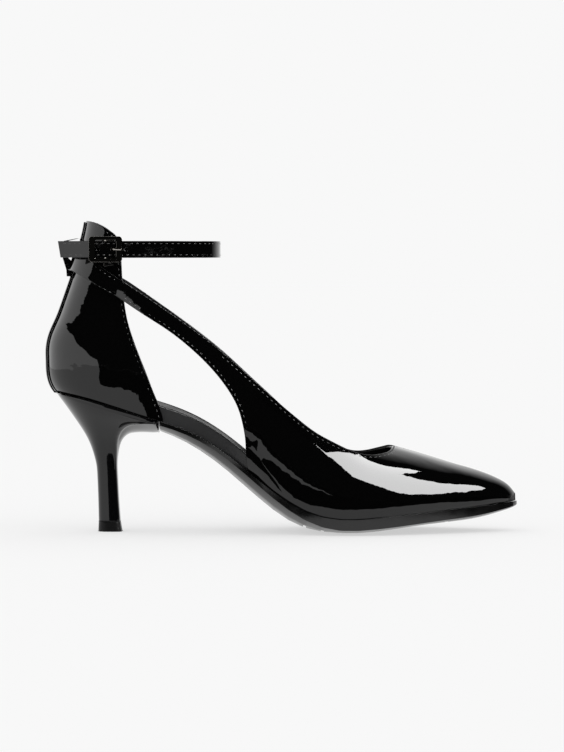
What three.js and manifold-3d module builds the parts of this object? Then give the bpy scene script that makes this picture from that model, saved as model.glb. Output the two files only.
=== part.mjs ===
// Ankle strap pump, women's right shoe, about EU 37, in millimetres.
// +X points to the toe, +Y to the medial side (the wearer's left), +Z up.
// The origin is the centre of the heel tip's bottom face, on the floor.
import * as THREE from 'three';
import Module from 'manifold-3d';

// Driving dimensions of the last and of the whole shoe
const FOOT_LENGTH = 230; // feather line, from the back of the seat to the toe
const SEAT_OVERHANG = 27; // the seat's back, behind the centre of the heel tip
const BALL_WIDTH = 73;
const HEEL_HEIGHT = 70; // feather line over the floor at the back of the seat
const TOE_SPRING = 7; // feather line at the toe, over the feather line at the ball
const INSTEP_HEIGHT = 80; // ridge of the last over the feather line where the sling begins
const COUNTER_HEIGHT = 85; // from the seat's back to the top of the tab
const SOLE_THICKNESS = 7.9; // under the ball

// Walls, layers and clearances
const CLEARANCE = 0.3; // between curved pieces that meet
const VAMP_WALL = 1.4;
const COUNTER_WALL = 1.8;
const STAY_THICKNESS = 0.8;
const STAY_WIDTH = 11;
const INSOLE_SEAT = 7; // padded insole and its wrapped edge, at seat and waist
const INSOLE_FOREPART = 3.2;
const INSOLE_CUP = 1.2; // hollow across the insole
const INSOLE_GAP = 0.7; // between the insole and the walls round it
const SOLE_MARGIN = 0.9; // sole edge outside the feather line
const HEEL_TIP_HEIGHT = 5;
const HEEL_TIP_MARGIN = 0.5; // flare of the tip at the floor
const TREAD_RIBS = 9;
const TREAD_DEPTH = 0.9;
const TREAD_GROOVE = 1.8;
const TREAD_EDGE = 5; // plain rim of the sole outside the ribs

// Ankle strap and buckle
const STRAP_WIDTH = 8.1;
const STRAP_THICKNESS = 1.4;
const STRAP_RISE = 0.833; // mid height over the seat's back, share of COUNTER_HEIGHT
const STRAP_REACH = 0.355; // front of its mid line from the seat's back, share of FOOT_LENGTH
const STRAP_EASE = 1.9; // room between the sling and the strap at the sides
const FOLD_FLAP = 3; // end of the strap inside, beyond the centre bar
const TAIL_LENGTH = 23; // free end beyond the buckle's centre bar
const TAIL_SLANT = 1.3; // the cut end leans by this each way
const TAIL_TURN = 0.45; // radians that the free end turns in behind the buckle
const HOLE_PITCH = 6.9;
const HOLE_RADIUS = 0.9;
const BUCKLE_LENGTH = 16.4;
const BUCKLE_HEIGHT = 12.6;
const BUCKLE_SIDE_BAR = 2.9;
const BUCKLE_RAIL = 1.8;
const BUCKLE_THICKNESS = 1.5;
const BUCKLE_CORNER = 1.6;
const BAR_RADIUS = 0.75; // centre bar, hidden under the strap
const BUCKLE_CENTRE = -0.8; // centre bar, ahead of the heel tip
const PRONG_RADIUS = 0.5;
const PRONG_HOLE_OFFSET = 3.2; // hole in use, ahead of the centre bar
const PRONG_END_MARGIN = 0.4; // prong's tip inside the frame's end
const LOOP_WIDTH = 9;
const LOOP_THICKNESS = 1.1;
const LOOP_SLACK = 1.2; // room behind the strap
const LOOP_BELOW = 3.6; // loop's lower seam under the sling's lower edge
const LOOP_ABOVE = 1.5; // loop's upper seam over the strap's upper edge

// Sections of the last. along is the share of FOOT_LENGTH from the seat's back. lateral and
// medial are the feather line's half widths and lateralWide and medialWide the widest half
// widths, as shares of BALL_WIDTH, as is the ridge's side shift. rise is the share of the
// seat's height over the forepart, spring the share of TOE_SPRING. level and ridge are the
// heights of the widest point and of the ridge over the feather line, as shares of
// INSTEP_HEIGHT. edge and belly are the sole's edge and its depth at the centre line, as
// shares of SOLE_THICKNESS, and pad is 1 where the insole has its seat thickness.
const LAST_COLUMNS =
  'along lateral medial lateralWide medialWide shift rise spring level ridge edge belly pad';
const LAST_ROWS = [
  [0.00, 0.000, 0.000, 0.000, 0.000, 0.000, 1.000, 0.00, 0.800, 1.850, 0.25, 0.60, 1.00],
  [0.03, 0.237, 0.237, 0.220, 0.220, 0.000, 0.977, 0.00, 0.790, 1.840, 0.25, 0.60, 1.00],
  [0.08, 0.332, 0.323, 0.318, 0.316, 0.000, 0.939, 0.00, 0.750, 1.800, 0.25, 0.62, 1.00],
  [0.14, 0.359, 0.356, 0.362, 0.358, 0.000, 0.877, 0.00, 0.665, 1.720, 0.25, 0.64, 1.00],
  [0.20, 0.351, 0.345, 0.396, 0.390, 0.000, 0.807, 0.00, 0.575, 1.590, 0.25, 0.66, 1.00],
  [0.28, 0.312, 0.262, 0.415, 0.408, 0.000, 0.709, 0.00, 0.450, 1.350, 0.25, 0.84, 1.00],
  [0.36, 0.304, 0.225, 0.425, 0.416, 0.000, 0.544, 0.00, 0.330, 1.160, 0.27, 1.10, 1.00],
  [0.44, 0.351, 0.281, 0.436, 0.430, 0.000, 0.309, 0.00, 0.258, 1.010, 0.34, 1.26, 0.90],
  [0.52, 0.429, 0.411, 0.466, 0.466, 0.000, 0.100, 0.00, 0.195, 0.870, 0.48, 1.26, 0.50],
  [0.60, 0.485, 0.501, 0.501, 0.520, 0.002, 0.006, 0.01, 0.145, 0.670, 0.66, 1.07, 0.15],
  [0.67, 0.488, 0.501, 0.502, 0.516, 0.006, 0.000, 0.04, 0.109, 0.496, 0.68, 1.05, 0.00],
  [0.75, 0.414, 0.444, 0.428, 0.458, 0.015, 0.000, 0.26, 0.088, 0.398, 0.66, 0.96, 0.00],
  [0.83, 0.299, 0.356, 0.312, 0.368, 0.030, 0.000, 0.51, 0.073, 0.305, 0.62, 0.90, 0.00],
  [0.90, 0.186, 0.277, 0.197, 0.288, 0.045, 0.000, 0.70, 0.060, 0.231, 0.58, 0.84, 0.00],
  [0.96, 0.074, 0.200, 0.084, 0.210, 0.060, 0.000, 0.87, 0.045, 0.151, 0.42, 0.59, 0.00],
  [1.00, -0.068, 0.068, -0.064, 0.072, 0.068, 0.000, 1.00, 0.015, 0.029, 0.15, 0.20, 0.00],
];

// Cross lines of vamp and sling, from the counter's side to the throat. Each runs from the
// topline to the sling's lower edge or the feather line. topAlong and lowAlong are shares of
// FOOT_LENGTH, topAbove and lowAbove heights over the feather line as shares of
// INSTEP_HEIGHT, and medialLift is what the medial sling or topline is higher.
const UPPER_COLUMNS = 'topAlong topAbove lowAlong lowAbove medialLift';
const UPPER_ROWS = [
  [0.140, 0.800, 0.132, 0.693, 0.000],
  [0.200, 0.741, 0.192, 0.631, -0.003],
  [0.263, 0.674, 0.251, 0.573, -0.007],
  [0.325, 0.626, 0.307, 0.509, -0.010],
  [0.378, 0.603, 0.349, 0.456, -0.014],
  [0.422, 0.590, 0.378, 0.405, -0.018],
  [0.457, 0.582, 0.397, 0.345, -0.022],
  [0.485, 0.570, 0.408, 0.262, -0.026],
  [0.509, 0.555, 0.414, 0.145, -0.029],
  [0.528, 0.538, 0.419, 0.000, -0.031],
  [0.548, 0.517, 0.452, 0.000, -0.034],
  [0.570, 0.494, 0.496, 0.000, -0.037],
  [0.596, 0.468, 0.544, 0.000, -0.038],
  [0.624, 0.434, 0.600, 0.000, -0.034],
  [0.650, 0.403, 0.661, 0.000, -0.022],
  [0.675, 0.384, 0.726, 0.000, -0.002],
  [0.697, 0.379, 0.791, 0.000, 0.015],
  [0.715, 0.382, 0.857, 0.000, 0.024],
  [0.727, 0.390, 0.917, 0.000, 0.024],
  [0.734, 0.405, 0.965, 0.000, 0.014],
];
const THROAT_ALONG = 0.7357;

// The sling's turn behind the counter. turn is the share of the way from the centre back to
// the counter's side, top and low the edges' heights over the seat's back as shares of
// COUNTER_HEIGHT.
const TURN_COLUMNS = 'turn top low';
const TURN_ROWS = [
  [0.00, 0.815, 0.718],
  [0.22, 0.808, 0.712],
  [0.44, 0.791, 0.682],
  [0.64, 0.755, 0.639],
  [0.82, 0.702, 0.591],
];

// Levels of the counter, from the seat to the top of the tab. back and front are heights over
// the seat's back as shares of COUNTER_HEIGHT, lean and reach the places of the back and of
// the front edge from the seat's back as shares of FOOT_LENGTH, half the half width as a
// share of BALL_WIDTH, and depth the way to the widest point as a share of FOOT_LENGTH.
const COUNTER_COLUMNS = 'back lean front reach half depth';
const COUNTER_ROWS = [
  [0.000, 0.0000, -0.168, 0.2360, 0.359, 0.139],
  [0.036, -0.0095, -0.112, 0.2310, 0.368, 0.143],
  [0.106, -0.0170, -0.024, 0.2185, 0.378, 0.147],
  [0.200, -0.0183, 0.088, 0.2022, 0.382, 0.148],
  [0.312, -0.0152, 0.218, 0.1835, 0.377, 0.144],
  [0.435, 0.0039, 0.359, 0.1657, 0.362, 0.134],
  [0.565, 0.0213, 0.506, 0.1540, 0.341, 0.122],
  [0.706, 0.0391, 0.665, 0.1483, 0.321, 0.109],
  [0.859, 0.0539, 0.818, 0.1448, 0.307, 0.099],
  [0.941, 0.0613, 0.884, 0.1400, 0.300, 0.093],
  [1.000, 0.0655, 0.918, 0.1330, 0.295, 0.088],
];
const TAB_CROWN_POWER = 1.8; // of the top edge's fall towards its front corners
const TAB_FROM_LEVEL = 0.8;
const FOLLOW_TO_LEVEL = 0.2; // up to here the counter follows the feather line
const AROUND_EASE = 0.25; // share of even spacing towards the counter's front edge

// Heel sections, from the tip joint to the seat. low is the height of the back as a share of
// the way from the joint up to the seat, rise the front's, back and front their places as
// shares of SEAT_OVERHANG, half the half width and proud what the middle of the breast stands
// out from its side edges, as shares of BALL_WIDTH.
const HEEL_COLUMNS = 'low back rise front half proud';
const HEEL_ROWS = [
  [0.000, -0.215, 0.000, 0.193, 0.082, 0.000],
  [0.167, -0.224, 0.167, 0.165, 0.081, 0.000],
  [0.351, -0.241, 0.351, 0.143, 0.086, 0.000],
  [0.448, -0.265, 0.450, 0.137, 0.099, 0.000],
  [0.540, -0.324, 0.538, 0.150, 0.127, 0.004],
  [0.632, -0.411, 0.614, 0.172, 0.167, 0.014],
  [0.724, -0.539, 0.674, 0.222, 0.216, 0.032],
  [0.818, -0.693, 0.725, 0.333, 0.268, 0.050],
  [0.911, -0.852, 0.753, 0.556, 0.318, 0.062],
  [0.973, -0.963, 0.757, 0.826, 0.349, 0.066],
  [1.000, -0.996, 0.762, 0.926, 0.358, 0.066],
];

// Natural cubic spline through the points (keys[i], values[i])
function spline(keys, values) {
  const count = keys.length;
  const bend = new Array(count).fill(0);
  const ratio = new Array(count).fill(0);
  const load = new Array(count).fill(0);
  for (let i = 1; i < count - 1; i += 1) {
    const before = keys[i] - keys[i - 1];
    const after = keys[i + 1] - keys[i];
    const slopeAfter = (values[i + 1] - values[i]) / after;
    const slopeBefore = (values[i] - values[i - 1]) / before;
    const pivot = 2 * (before + after) - before * ratio[i - 1];
    ratio[i] = after / pivot;
    load[i] = (6 * (slopeAfter - slopeBefore) - before * load[i - 1]) / pivot;
  }
  for (let i = count - 2; i > 0; i -= 1) {
    bend[i] = load[i] - ratio[i] * bend[i + 1];
  }
  return (key) => {
    let i = 1;
    while (i < count - 1 && key > keys[i]) i += 1;
    const span = keys[i] - keys[i - 1];
    const right = (key - keys[i - 1]) / span;
    const left = 1 - right;
    const curve = (left ** 3 - left) * bend[i - 1] + (right ** 3 - right) * bend[i];
    return left * values[i - 1] + right * values[i] + (curve * span * span) / 6;
  };
}

// A table of named columns, read by a spline over its first column, or over keyOf of it
function table(columns, rows, keyOf = (key) => key) {
  const names = columns.split(' ');
  const keys = rows.map((row) => keyOf(row[0]));
  const curves = {};
  names.forEach((name, column) => {
    curves[name] = spline(keys, rows.map((row) => row[column]));
  });
  return { read: (name, key) => curves[name](keyOf(key)) };
}

const mix = (from, to, share) => from + (to - from) * share;
const clamp = (value, low, high) => Math.min(high, Math.max(low, value));
const smooth = (share) => {
  const t = clamp(share, 0, 1);
  return t * t * (3 - 2 * t);
};

// The last's outline is read over the angle of a half circle, so that both ends come round
const roundEnds = (along) => Math.acos(1 - 2 * clamp(along, 0, 1));
const last = table(LAST_COLUMNS, LAST_ROWS, roundEnds);
const FOREPART_HEIGHT = SOLE_THICKNESS + CLEARANCE;
const alongToX = (along) => along * FOOT_LENGTH - SEAT_OVERHANG;
const xToAlong = (x) => (x + SEAT_OVERHANG) / FOOT_LENGTH;
const LATERAL = -1;
const MEDIAL = 1;

function featherHeight(along) {
  const rise = last.read('rise', along) * (HEEL_HEIGHT - FOREPART_HEIGHT);
  return FOREPART_HEIGHT + rise + last.read('spring', along) * TOE_SPRING;
}

function featherSide(along, side) {
  const half = last.read(side === LATERAL ? 'lateral' : 'medial', along);
  return side * half * BALL_WIDTH;
}

// Half of one section: from the ridge (around = 0) over the widest point to the feather line
// (around = 1). The upper part is a quarter ellipse, the lower part a parabola.
const WIDEST = 0.78;

function section(along, side) {
  const ridgeY = last.read('shift', along) * BALL_WIDTH;
  const wideY = side * last.read(side === LATERAL ? 'lateralWide' : 'medialWide', along) * BALL_WIDTH;
  const level = last.read('level', along) * INSTEP_HEIGHT;
  const ridge = last.read('ridge', along) * INSTEP_HEIGHT;
  return { ridgeY, wideY, level, ridge, footY: featherSide(along, side), foot: featherHeight(along) };
}

function lastPoint(along, around, side) {
  const s = section(along, side);
  const x = alongToX(along);
  if (around <= WIDEST) {
    const angle = (around / WIDEST) * (Math.PI / 2);
    const z = s.foot + s.level + (s.ridge - s.level) * Math.cos(angle);
    return new THREE.Vector3(x, s.ridgeY + (s.wideY - s.ridgeY) * Math.sin(angle), z);
  }
  const drop = (around - WIDEST) / (1 - WIDEST);
  const y = s.wideY + (s.footY - s.wideY) * drop * drop;
  return new THREE.Vector3(x, y, s.foot + s.level * (1 - drop));
}

// The place around a section that lies at a height above the feather line
function aroundAt(along, above, side) {
  const s = section(along, side);
  if (above < s.level) return mix(WIDEST, 1, (s.level - above) / s.level);
  const share = clamp((above - s.level) / (s.ridge - s.level), 0, 1);
  return (WIDEST * Math.acos(share)) / (Math.PI / 2);
}

// Counter: level is 0 at the seat and 1 at the top edge, around is 0 at the centre back and
// 1 at the front edge of one side
const counterLevels = COUNTER_ROWS.map((row, index) => index / (COUNTER_ROWS.length - 1));
const counterTable = table(
  `level ${COUNTER_COLUMNS}`,
  COUNTER_ROWS.map((row, index) => [counterLevels[index], ...row]),
);

function counterHeights(level) {
  const back = HEEL_HEIGHT + counterTable.read('back', level) * COUNTER_HEIGHT;
  const front = HEEL_HEIGHT + counterTable.read('front', level) * COUNTER_HEIGHT;
  return { back, front };
}

const COUNTER_ROUND_POWER = 2.2; // of the round back in plan
const COUNTER_NARROWING = 0.12; // ahead of the widest point
const MEDIAL_SET_BACK = 2.4; // of the counter's medial front edge

// Half width in plan as a share of the greatest, at a reach of 1 at the widest point
function counterRound(reach) {
  const round = (1 - (1 - Math.min(reach, 1)) ** COUNTER_ROUND_POWER) ** (1 / COUNTER_ROUND_POWER);
  return round * (1 - COUNTER_NARROWING * Math.max(reach - 1, 0) ** 2);
}

function counterPoint(level, around, side) {
  const backX = alongToX(counterTable.read('lean', level));
  const setBack = side === MEDIAL ? MEDIAL_SET_BACK : 0;
  const frontX = alongToX(counterTable.read('reach', level)) - setBack;
  const bend = 1 - Math.cos((around * Math.PI) / 2);
  const x = mix(backX, frontX, mix(bend, around, AROUND_EASE * around));
  const round = counterRound((x - backX) / (counterTable.read('depth', level) * FOOT_LENGTH));
  const y = side * counterTable.read('half', level) * BALL_WIDTH * round;
  const share = (x - backX) / (frontX - backX);
  const crown = mix(1, TAB_CROWN_POWER, smooth((level - TAB_FROM_LEVEL) / (1 - TAB_FROM_LEVEL)));
  const heights = counterHeights(level);
  const bottom = counterHeights(0);
  const seat = featherHeight(xToAlong(x)) - mix(bottom.back, bottom.front, share);
  const follow = Math.max(1 - level / FOLLOW_TO_LEVEL, 0) * seat;
  return new THREE.Vector3(x, y, mix(heights.back, heights.front, share ** crown) + follow);
}

// A closed solid between two grids of points of the same size, outer[i][j] and inner[i][j].
// A ring closes on itself over i; otherwise its two ends are capped.
function between(outer, inner, ring = false) {
  const rows = outer.length;
  const columns = outer[0].length;
  const points = [...outer.flat(), ...inner.flat()];
  const at = (layer, i, j) => layer * rows * columns + (i % rows) * columns + j;
  const faces = [];
  const quad = (a, b, c, d) => faces.push(a, b, c, a, c, d);
  const spans = ring ? rows : rows - 1;
  for (let i = 0; i < spans; i += 1) {
    for (let j = 0; j < columns - 1; j += 1) {
      quad(at(0, i, j), at(0, i + 1, j), at(0, i + 1, j + 1), at(0, i, j + 1));
      quad(at(1, i, j), at(1, i, j + 1), at(1, i + 1, j + 1), at(1, i + 1, j));
    }
    const end = columns - 1;
    quad(at(0, i, 0), at(1, i, 0), at(1, i + 1, 0), at(0, i + 1, 0));
    quad(at(0, i, end), at(0, i + 1, end), at(1, i + 1, end), at(1, i, end));
  }
  for (let j = 0; !ring && j < columns - 1; j += 1) {
    quad(at(0, 0, j), at(0, 0, j + 1), at(1, 0, j + 1), at(1, 0, j));
    quad(at(0, spans, j), at(1, spans, j), at(1, spans, j + 1), at(0, spans, j + 1));
  }
  return closedGeometry(points, faces);
}

// A closed solid through round sections, each a list of points, capped by its middle
function throughSections(sections) {
  const sides = sections[0].length;
  const points = sections.flat();
  const faces = [];
  for (let i = 0; i < sections.length - 1; i += 1) {
    for (let j = 0; j < sides; j += 1) {
      const next = (j + 1) % sides;
      const [low, high] = [i * sides, (i + 1) * sides];
      faces.push(low + j, low + next, high + next, low + j, high + next, high + j);
    }
  }
  [0, sections.length - 1].forEach((i) => {
    const middle = new THREE.Vector3();
    sections[i].forEach((point) => middle.addScaledVector(point, 1 / sides));
    points.push(middle);
    for (let j = 0; j < sides; j += 1) {
      const edge = [i * sides + j, i * sides + ((j + 1) % sides)];
      faces.push(points.length - 1, ...(i === 0 ? edge.reverse() : edge));
    }
  });
  return closedGeometry(points, faces);
}

// Turns the faces outwards, whatever way round the grid was laid
function closedGeometry(points, faces) {
  let volume = 0;
  const cross = new THREE.Vector3();
  for (let i = 0; i < faces.length; i += 3) {
    cross.crossVectors(points[faces[i + 1]], points[faces[i + 2]]);
    volume += points[faces[i]].dot(cross);
  }
  const order = volume < 0 ? [...faces].reverse() : faces;
  const geometry = new THREE.BufferGeometry();
  const places = points.flatMap((point) => point.toArray());
  geometry.setAttribute('position', new THREE.Float32BufferAttribute(places, 3));
  geometry.setIndex(order);
  geometry.computeVertexNormals();
  return geometry;
}

// Unit normals of a grid of points, from its neighbours
function gridNormals(grid, ring) {
  const rows = grid.length;
  const columns = grid[0].length;
  return grid.map((line, i) => line.map((point, j) => {
    const before = ring ? (i + rows - 1) % rows : Math.max(i - 1, 0);
    const after = ring ? (i + 1) % rows : Math.min(i + 1, rows - 1);
    const across = line[Math.min(j + 1, columns - 1)].clone().sub(line[Math.max(j - 1, 0)]);
    const along = grid[after][j].clone().sub(grid[before][j]);
    return along.cross(across).normalize();
  }));
}

function offsetGrid(grid, distance, ring) {
  const normals = gridNormals(grid, ring);
  const moved = (point, i, j) => point.clone().addScaledVector(normals[i][j], distance);
  return grid.map((line, i) => line.map((point, j) => moved(point, i, j)));
}

// The upper's cross lines, each a list of points from the topline down
const CROSS_POINTS = 9;

function crossLine([topAlong, topAbove, lowAlong, lowAbove, lift], side) {
  const extra = side === MEDIAL ? lift : 0;
  const topAround = aroundAt(topAlong, (topAbove + extra) * INSTEP_HEIGHT, side);
  const low = (lowAbove + extra) * INSTEP_HEIGHT;
  const lowAround = lowAbove > 0 ? aroundAt(lowAlong, low, side) : 1;
  const top = { along: topAlong, around: topAround };
  return crossBetween(top, { along: lowAlong, around: lowAround }, side);
}

// Lines near the toe run straight in plan to the widest point and then down the wall, so
// that they fan out from the throat. Lines on the side run evenly over the section.
const FAN_FROM = 0.56;
const FAN_TO = 0.80;

function crossBetween(top, low, side) {
  const fan = smooth((low.along - FAN_FROM) / (FAN_TO - FAN_FROM));
  const start = lastPoint(top.along, top.around, side);
  const wide = lastPoint(low.along, WIDEST, side);
  const line = [];
  for (let j = 0; j < CROSS_POINTS; j += 1) {
    const t = j / (CROSS_POINTS - 1);
    const even = { along: mix(top.along, low.along, t), around: mix(top.around, low.around, t) };
    const reach = Math.sin((Math.min(t / WIDEST, 1) * Math.PI) / 2);
    const along = mix(top.along, low.along, reach);
    const s = section(along, side);
    const target = mix(start.y, wide.y, reach);
    const share = clamp((target - s.ridgeY) / (s.wideY - s.ridgeY), 0, 1);
    let around = (WIDEST * Math.asin(share)) / (Math.PI / 2);
    if (t >= WIDEST) around = t;
    line.push(lastPoint(mix(even.along, along, fan), mix(even.around, around, fan), side));
  }
  return line;
}

// The sling's cross lines behind the counter lie on the counter's own surface, outside the
// back stay and its clearances
const SLING_OUT = STAY_THICKNESS + 2 * CLEARANCE + VAMP_WALL;
const turnTable = table(TURN_COLUMNS, TURN_ROWS);

function counterLevelAt(height, around, side) {
  let low = 0;
  let high = 1;
  for (let i = 0; i < 30; i += 1) {
    const middle = (low + high) / 2;
    if (counterPoint(middle, around, side).z < height) low = middle;
    else high = middle;
  }
  return (low + high) / 2;
}

function counterOutside(height, around, side, distance) {
  const step = 0.01;
  const level = counterLevelAt(height, around, side);
  const point = counterPoint(level, around, side);
  const up = counterPoint(level + step, around, side).sub(counterPoint(level - step, around, side));
  const back = around < step ? { around: step, side: -side } : { around: around - step, side };
  const from = counterPoint(level, back.around, back.side);
  const on = counterPoint(level, around + step, side).sub(from);
  const normal = up.cross(on).normalize().multiplyScalar(side);
  return point.addScaledVector(normal, distance);
}

// The same, for a wanted height of the moved point
function outsideAt(height, around, side, distance) {
  let from = height;
  for (let i = 0; i < 5; i += 1) from += height - counterOutside(from, around, side, distance).z;
  return counterOutside(from, around, side, distance);
}

function turnLine(turn, side) {
  const line = [];
  for (let j = 0; j < CROSS_POINTS; j += 1) {
    const share = mix(turnTable.read('top', turn), turnTable.read('low', turn), j / (CROSS_POINTS - 1));
    line.push(outsideAt(HEEL_HEIGHT + share * COUNTER_HEIGHT, turn, side, SLING_OUT));
  }
  return line;
}

// Control lines of the whole ring: round the back, along the lateral side to the throat and
// toe, and back along the medial side
function upperLines() {
  const sideLines = (side) => [
    ...TURN_ROWS.slice(1).map(([turn]) => turnLine(turn, side)),
    ...UPPER_ROWS.map((row) => crossLine(row, side)),
  ];
  const nose = crossBetween({ along: THROAT_ALONG, around: 0 }, { along: 1, around: 1 }, MEDIAL);
  return [turnLine(0, LATERAL), ...sideLines(LATERAL), nose, ...sideLines(MEDIAL).reverse()];
}

const UPPER_STEPS = 2; // lines made for each control line

function isOnFeather(point) {
  return Math.abs(point.z - featherHeight(xToAlong(point.x))) < CLEARANCE / 2;
}

function upperGrid() {
  const lines = upperLines();
  const lap = 4; // control lines repeated at each end, so that the ring closes smoothly
  const wrapped = [...lines.slice(-lap), ...lines, ...lines.slice(0, lap + 1)];
  const keys = wrapped.map((line, index) => index);
  const grid = [];
  const curves = wrapped[0].map((point, j) => ({
    x: spline(keys, wrapped.map((line) => line[j].x)),
    y: spline(keys, wrapped.map((line) => line[j].y)),
    z: spline(keys, wrapped.map((line) => line[j].z)),
  }));
  for (let i = 0; i < lines.length * UPPER_STEPS; i += 1) {
    const key = lap + i / UPPER_STEPS;
    const line = curves.map((axis) => new THREE.Vector3(axis.x(key), axis.y(key), axis.z(key)));
    const control = lines[Math.floor(key - lap)];
    const next = lines[Math.ceil(key - lap) % lines.length];
    const foot = line[CROSS_POINTS - 1];
    const onFeather = [control, next].every((l) => isOnFeather(l[CROSS_POINTS - 1]));
    if (onFeather) foot.z = featherHeight(xToAlong(foot.x));
    grid.push(line);
  }
  return grid;
}

function vampAndSling() {
  const outer = upperGrid();
  const inner = offsetGrid(outer, VAMP_WALL, true);
  outer.forEach((line, i) => {
    const foot = line[CROSS_POINTS - 1];
    if (isOnFeather(foot)) inner[i][CROSS_POINTS - 1].z = foot.z;
  });
  return between(outer, inner, true);
}

const COUNTER_STEPS = 12; // each side of the centre back
const COUNTER_LEVELS = 14;

function aroundBothSides(steps, pointAt) {
  const lines = [];
  for (let i = -steps; i <= steps; i += 1) {
    lines.push(pointAt(Math.abs(i) / steps, i < 0 ? LATERAL : MEDIAL));
  }
  return lines;
}

function counter() {
  const outer = aroundBothSides(COUNTER_STEPS, (around, side) => {
    const line = [];
    for (let j = 0; j <= COUNTER_LEVELS; j += 1) {
      line.push(counterPoint(j / COUNTER_LEVELS, around, side));
    }
    return line;
  });
  return between(outer, offsetGrid(outer, COUNTER_WALL, false));
}

// Back stay: a strip down the centre back, wider at the seat
const STAY_STEPS = 3;
const STAY_SPREAD = 0.25;
const STAY_FROM = 0.012;
const STAY_TO = 0.985;

function aroundOfWidth(level, half) {
  let low = 0;
  let high = 1;
  for (let i = 0; i < 30; i += 1) {
    const middle = (low + high) / 2;
    if (counterPoint(level, middle, MEDIAL).y < half) low = middle;
    else high = middle;
  }
  return low;
}

function backStay() {
  const layer = (distance) => aroundBothSides(STAY_STEPS, (share, side) => {
    const line = [];
    for (let j = 0; j <= COUNTER_LEVELS; j += 1) {
      const level = mix(STAY_FROM, STAY_TO, j / COUNTER_LEVELS);
      const half = (STAY_WIDTH / 2) * (1 + STAY_SPREAD * (1 - level)) * share;
      const around = aroundOfWidth(level, half);
      const height = counterPoint(level, around, side).z;
      line.push(counterOutside(height, around, side, distance));
    }
    return line;
  });
  return between(layer(CLEARANCE + STAY_THICKNESS), layer(CLEARANCE));
}

// A point of the feather line in plan, moved outwards by distance
function outlinePoint(angle, side, distance) {
  const at = (a) => {
    const along = (1 - Math.cos(a)) / 2;
    return new THREE.Vector2(alongToX(along), featherSide(along, side));
  };
  const step = 0.002;
  const tangent = at(Math.min(angle + step, Math.PI)).sub(at(Math.max(angle - step, 0))).normalize();
  const normal = new THREE.Vector2(-side * tangent.y, side * tangent.x);
  return at(angle).addScaledVector(normal, distance);
}

const OUTLINE_END = 0.05; // angle left at each end of an outline, where it is cut square

const INSOLE_STEPS = 34;
const INSOLE_COLUMNS = [0, 0.06, 0.28, 0.5, 0.72, 0.94, 1];
const INSOLE_TOE_GAP = 3.5; // more room at the toe, where the vamp comes down
const INSOLE_WAIST = { from: 0.2, over: 0.1 }; // from the counter's wall to the vamp's
const INSOLE_TOE = { from: 0.8, over: 0.2 };

function insole() {
  const top = [];
  const bottom = [];
  for (let i = 0; i <= INSOLE_STEPS; i += 1) {
    const angle = mix(OUTLINE_END, Math.PI - OUTLINE_END, i / INSOLE_STEPS);
    const along = (1 - Math.cos(angle)) / 2;
    const wall = mix(COUNTER_WALL, VAMP_WALL, smooth((along - INSOLE_WAIST.from) / INSOLE_WAIST.over));
    const toe = INSOLE_TOE_GAP * smooth((along - INSOLE_TOE.from) / INSOLE_TOE.over);
    const inset = wall + INSOLE_GAP + toe;
    const lateral = outlinePoint(angle, LATERAL, -inset);
    const medial = outlinePoint(angle, MEDIAL, -inset);
    const thick = mix(INSOLE_FOREPART, INSOLE_SEAT, last.read('pad', along));
    const row = (lift, cup) => INSOLE_COLUMNS.map((share) => {
      const spot = lateral.clone().lerp(medial, share);
      const hollow = cup * (1 - (2 * share - 1) ** 2);
      return new THREE.Vector3(spot.x, spot.y, featherHeight(xToAlong(spot.x)) + lift - hollow);
    });
    top.push(row(thick, INSOLE_CUP * last.read('pad', along)));
    bottom.push(row(0, 0));
  }
  return between(top, bottom);
}

// Outsole, from the heel's breast to the toe. The edge is a low wall all round, the bottom
// a shallow belly that is flat where it stands, with ribs across the forepart.
const BREAST = 25.3; // sole's rear end, ahead of the heel tip
const SOLE_STEPS = 32;
const SOLE_COLUMNS = [0, 0.025, 0.12, 0.128, 0.31, 0.5, 0.69, 0.872, 0.88, 0.975, 1];
const SOLE_BELLY_POWER = 3; // power of the bottom's curve across
const SOLE_TUCK = 0.012; // lower edge inside the upper edge, share of the width
const TREAD_FROM = 93;
const TREAD_TO = 172;
const GROOVE_WALL = 0.3;

function soleStations() {
  const first = Math.acos(1 - 2 * xToAlong(BREAST));
  const stations = [];
  const pitch = (TREAD_TO - TREAD_FROM) / TREAD_RIBS;
  for (let i = 0; i <= SOLE_STEPS; i += 1) {
    const angle = mix(first, Math.PI - OUTLINE_END, i / SOLE_STEPS);
    const x = alongToX((1 - Math.cos(angle)) / 2);
    if (x < TREAD_FROM || x > TREAD_TO) stations.push({ x, groove: 0 });
  }
  for (let i = 0; i < TREAD_RIBS; i += 1) {
    const middle = TREAD_FROM + pitch * (i + 0.5);
    [[-1, 0, 0], [-1, 1, 1], [1, -1, 1], [1, 0, 0]].forEach(([side, inwards, groove]) => {
      const x = middle + (side * TREAD_GROOVE) / 2 + inwards * GROOVE_WALL;
      stations.push({ x, groove });
    });
  }
  return stations.sort((one, other) => one.x - other.x);
}

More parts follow.
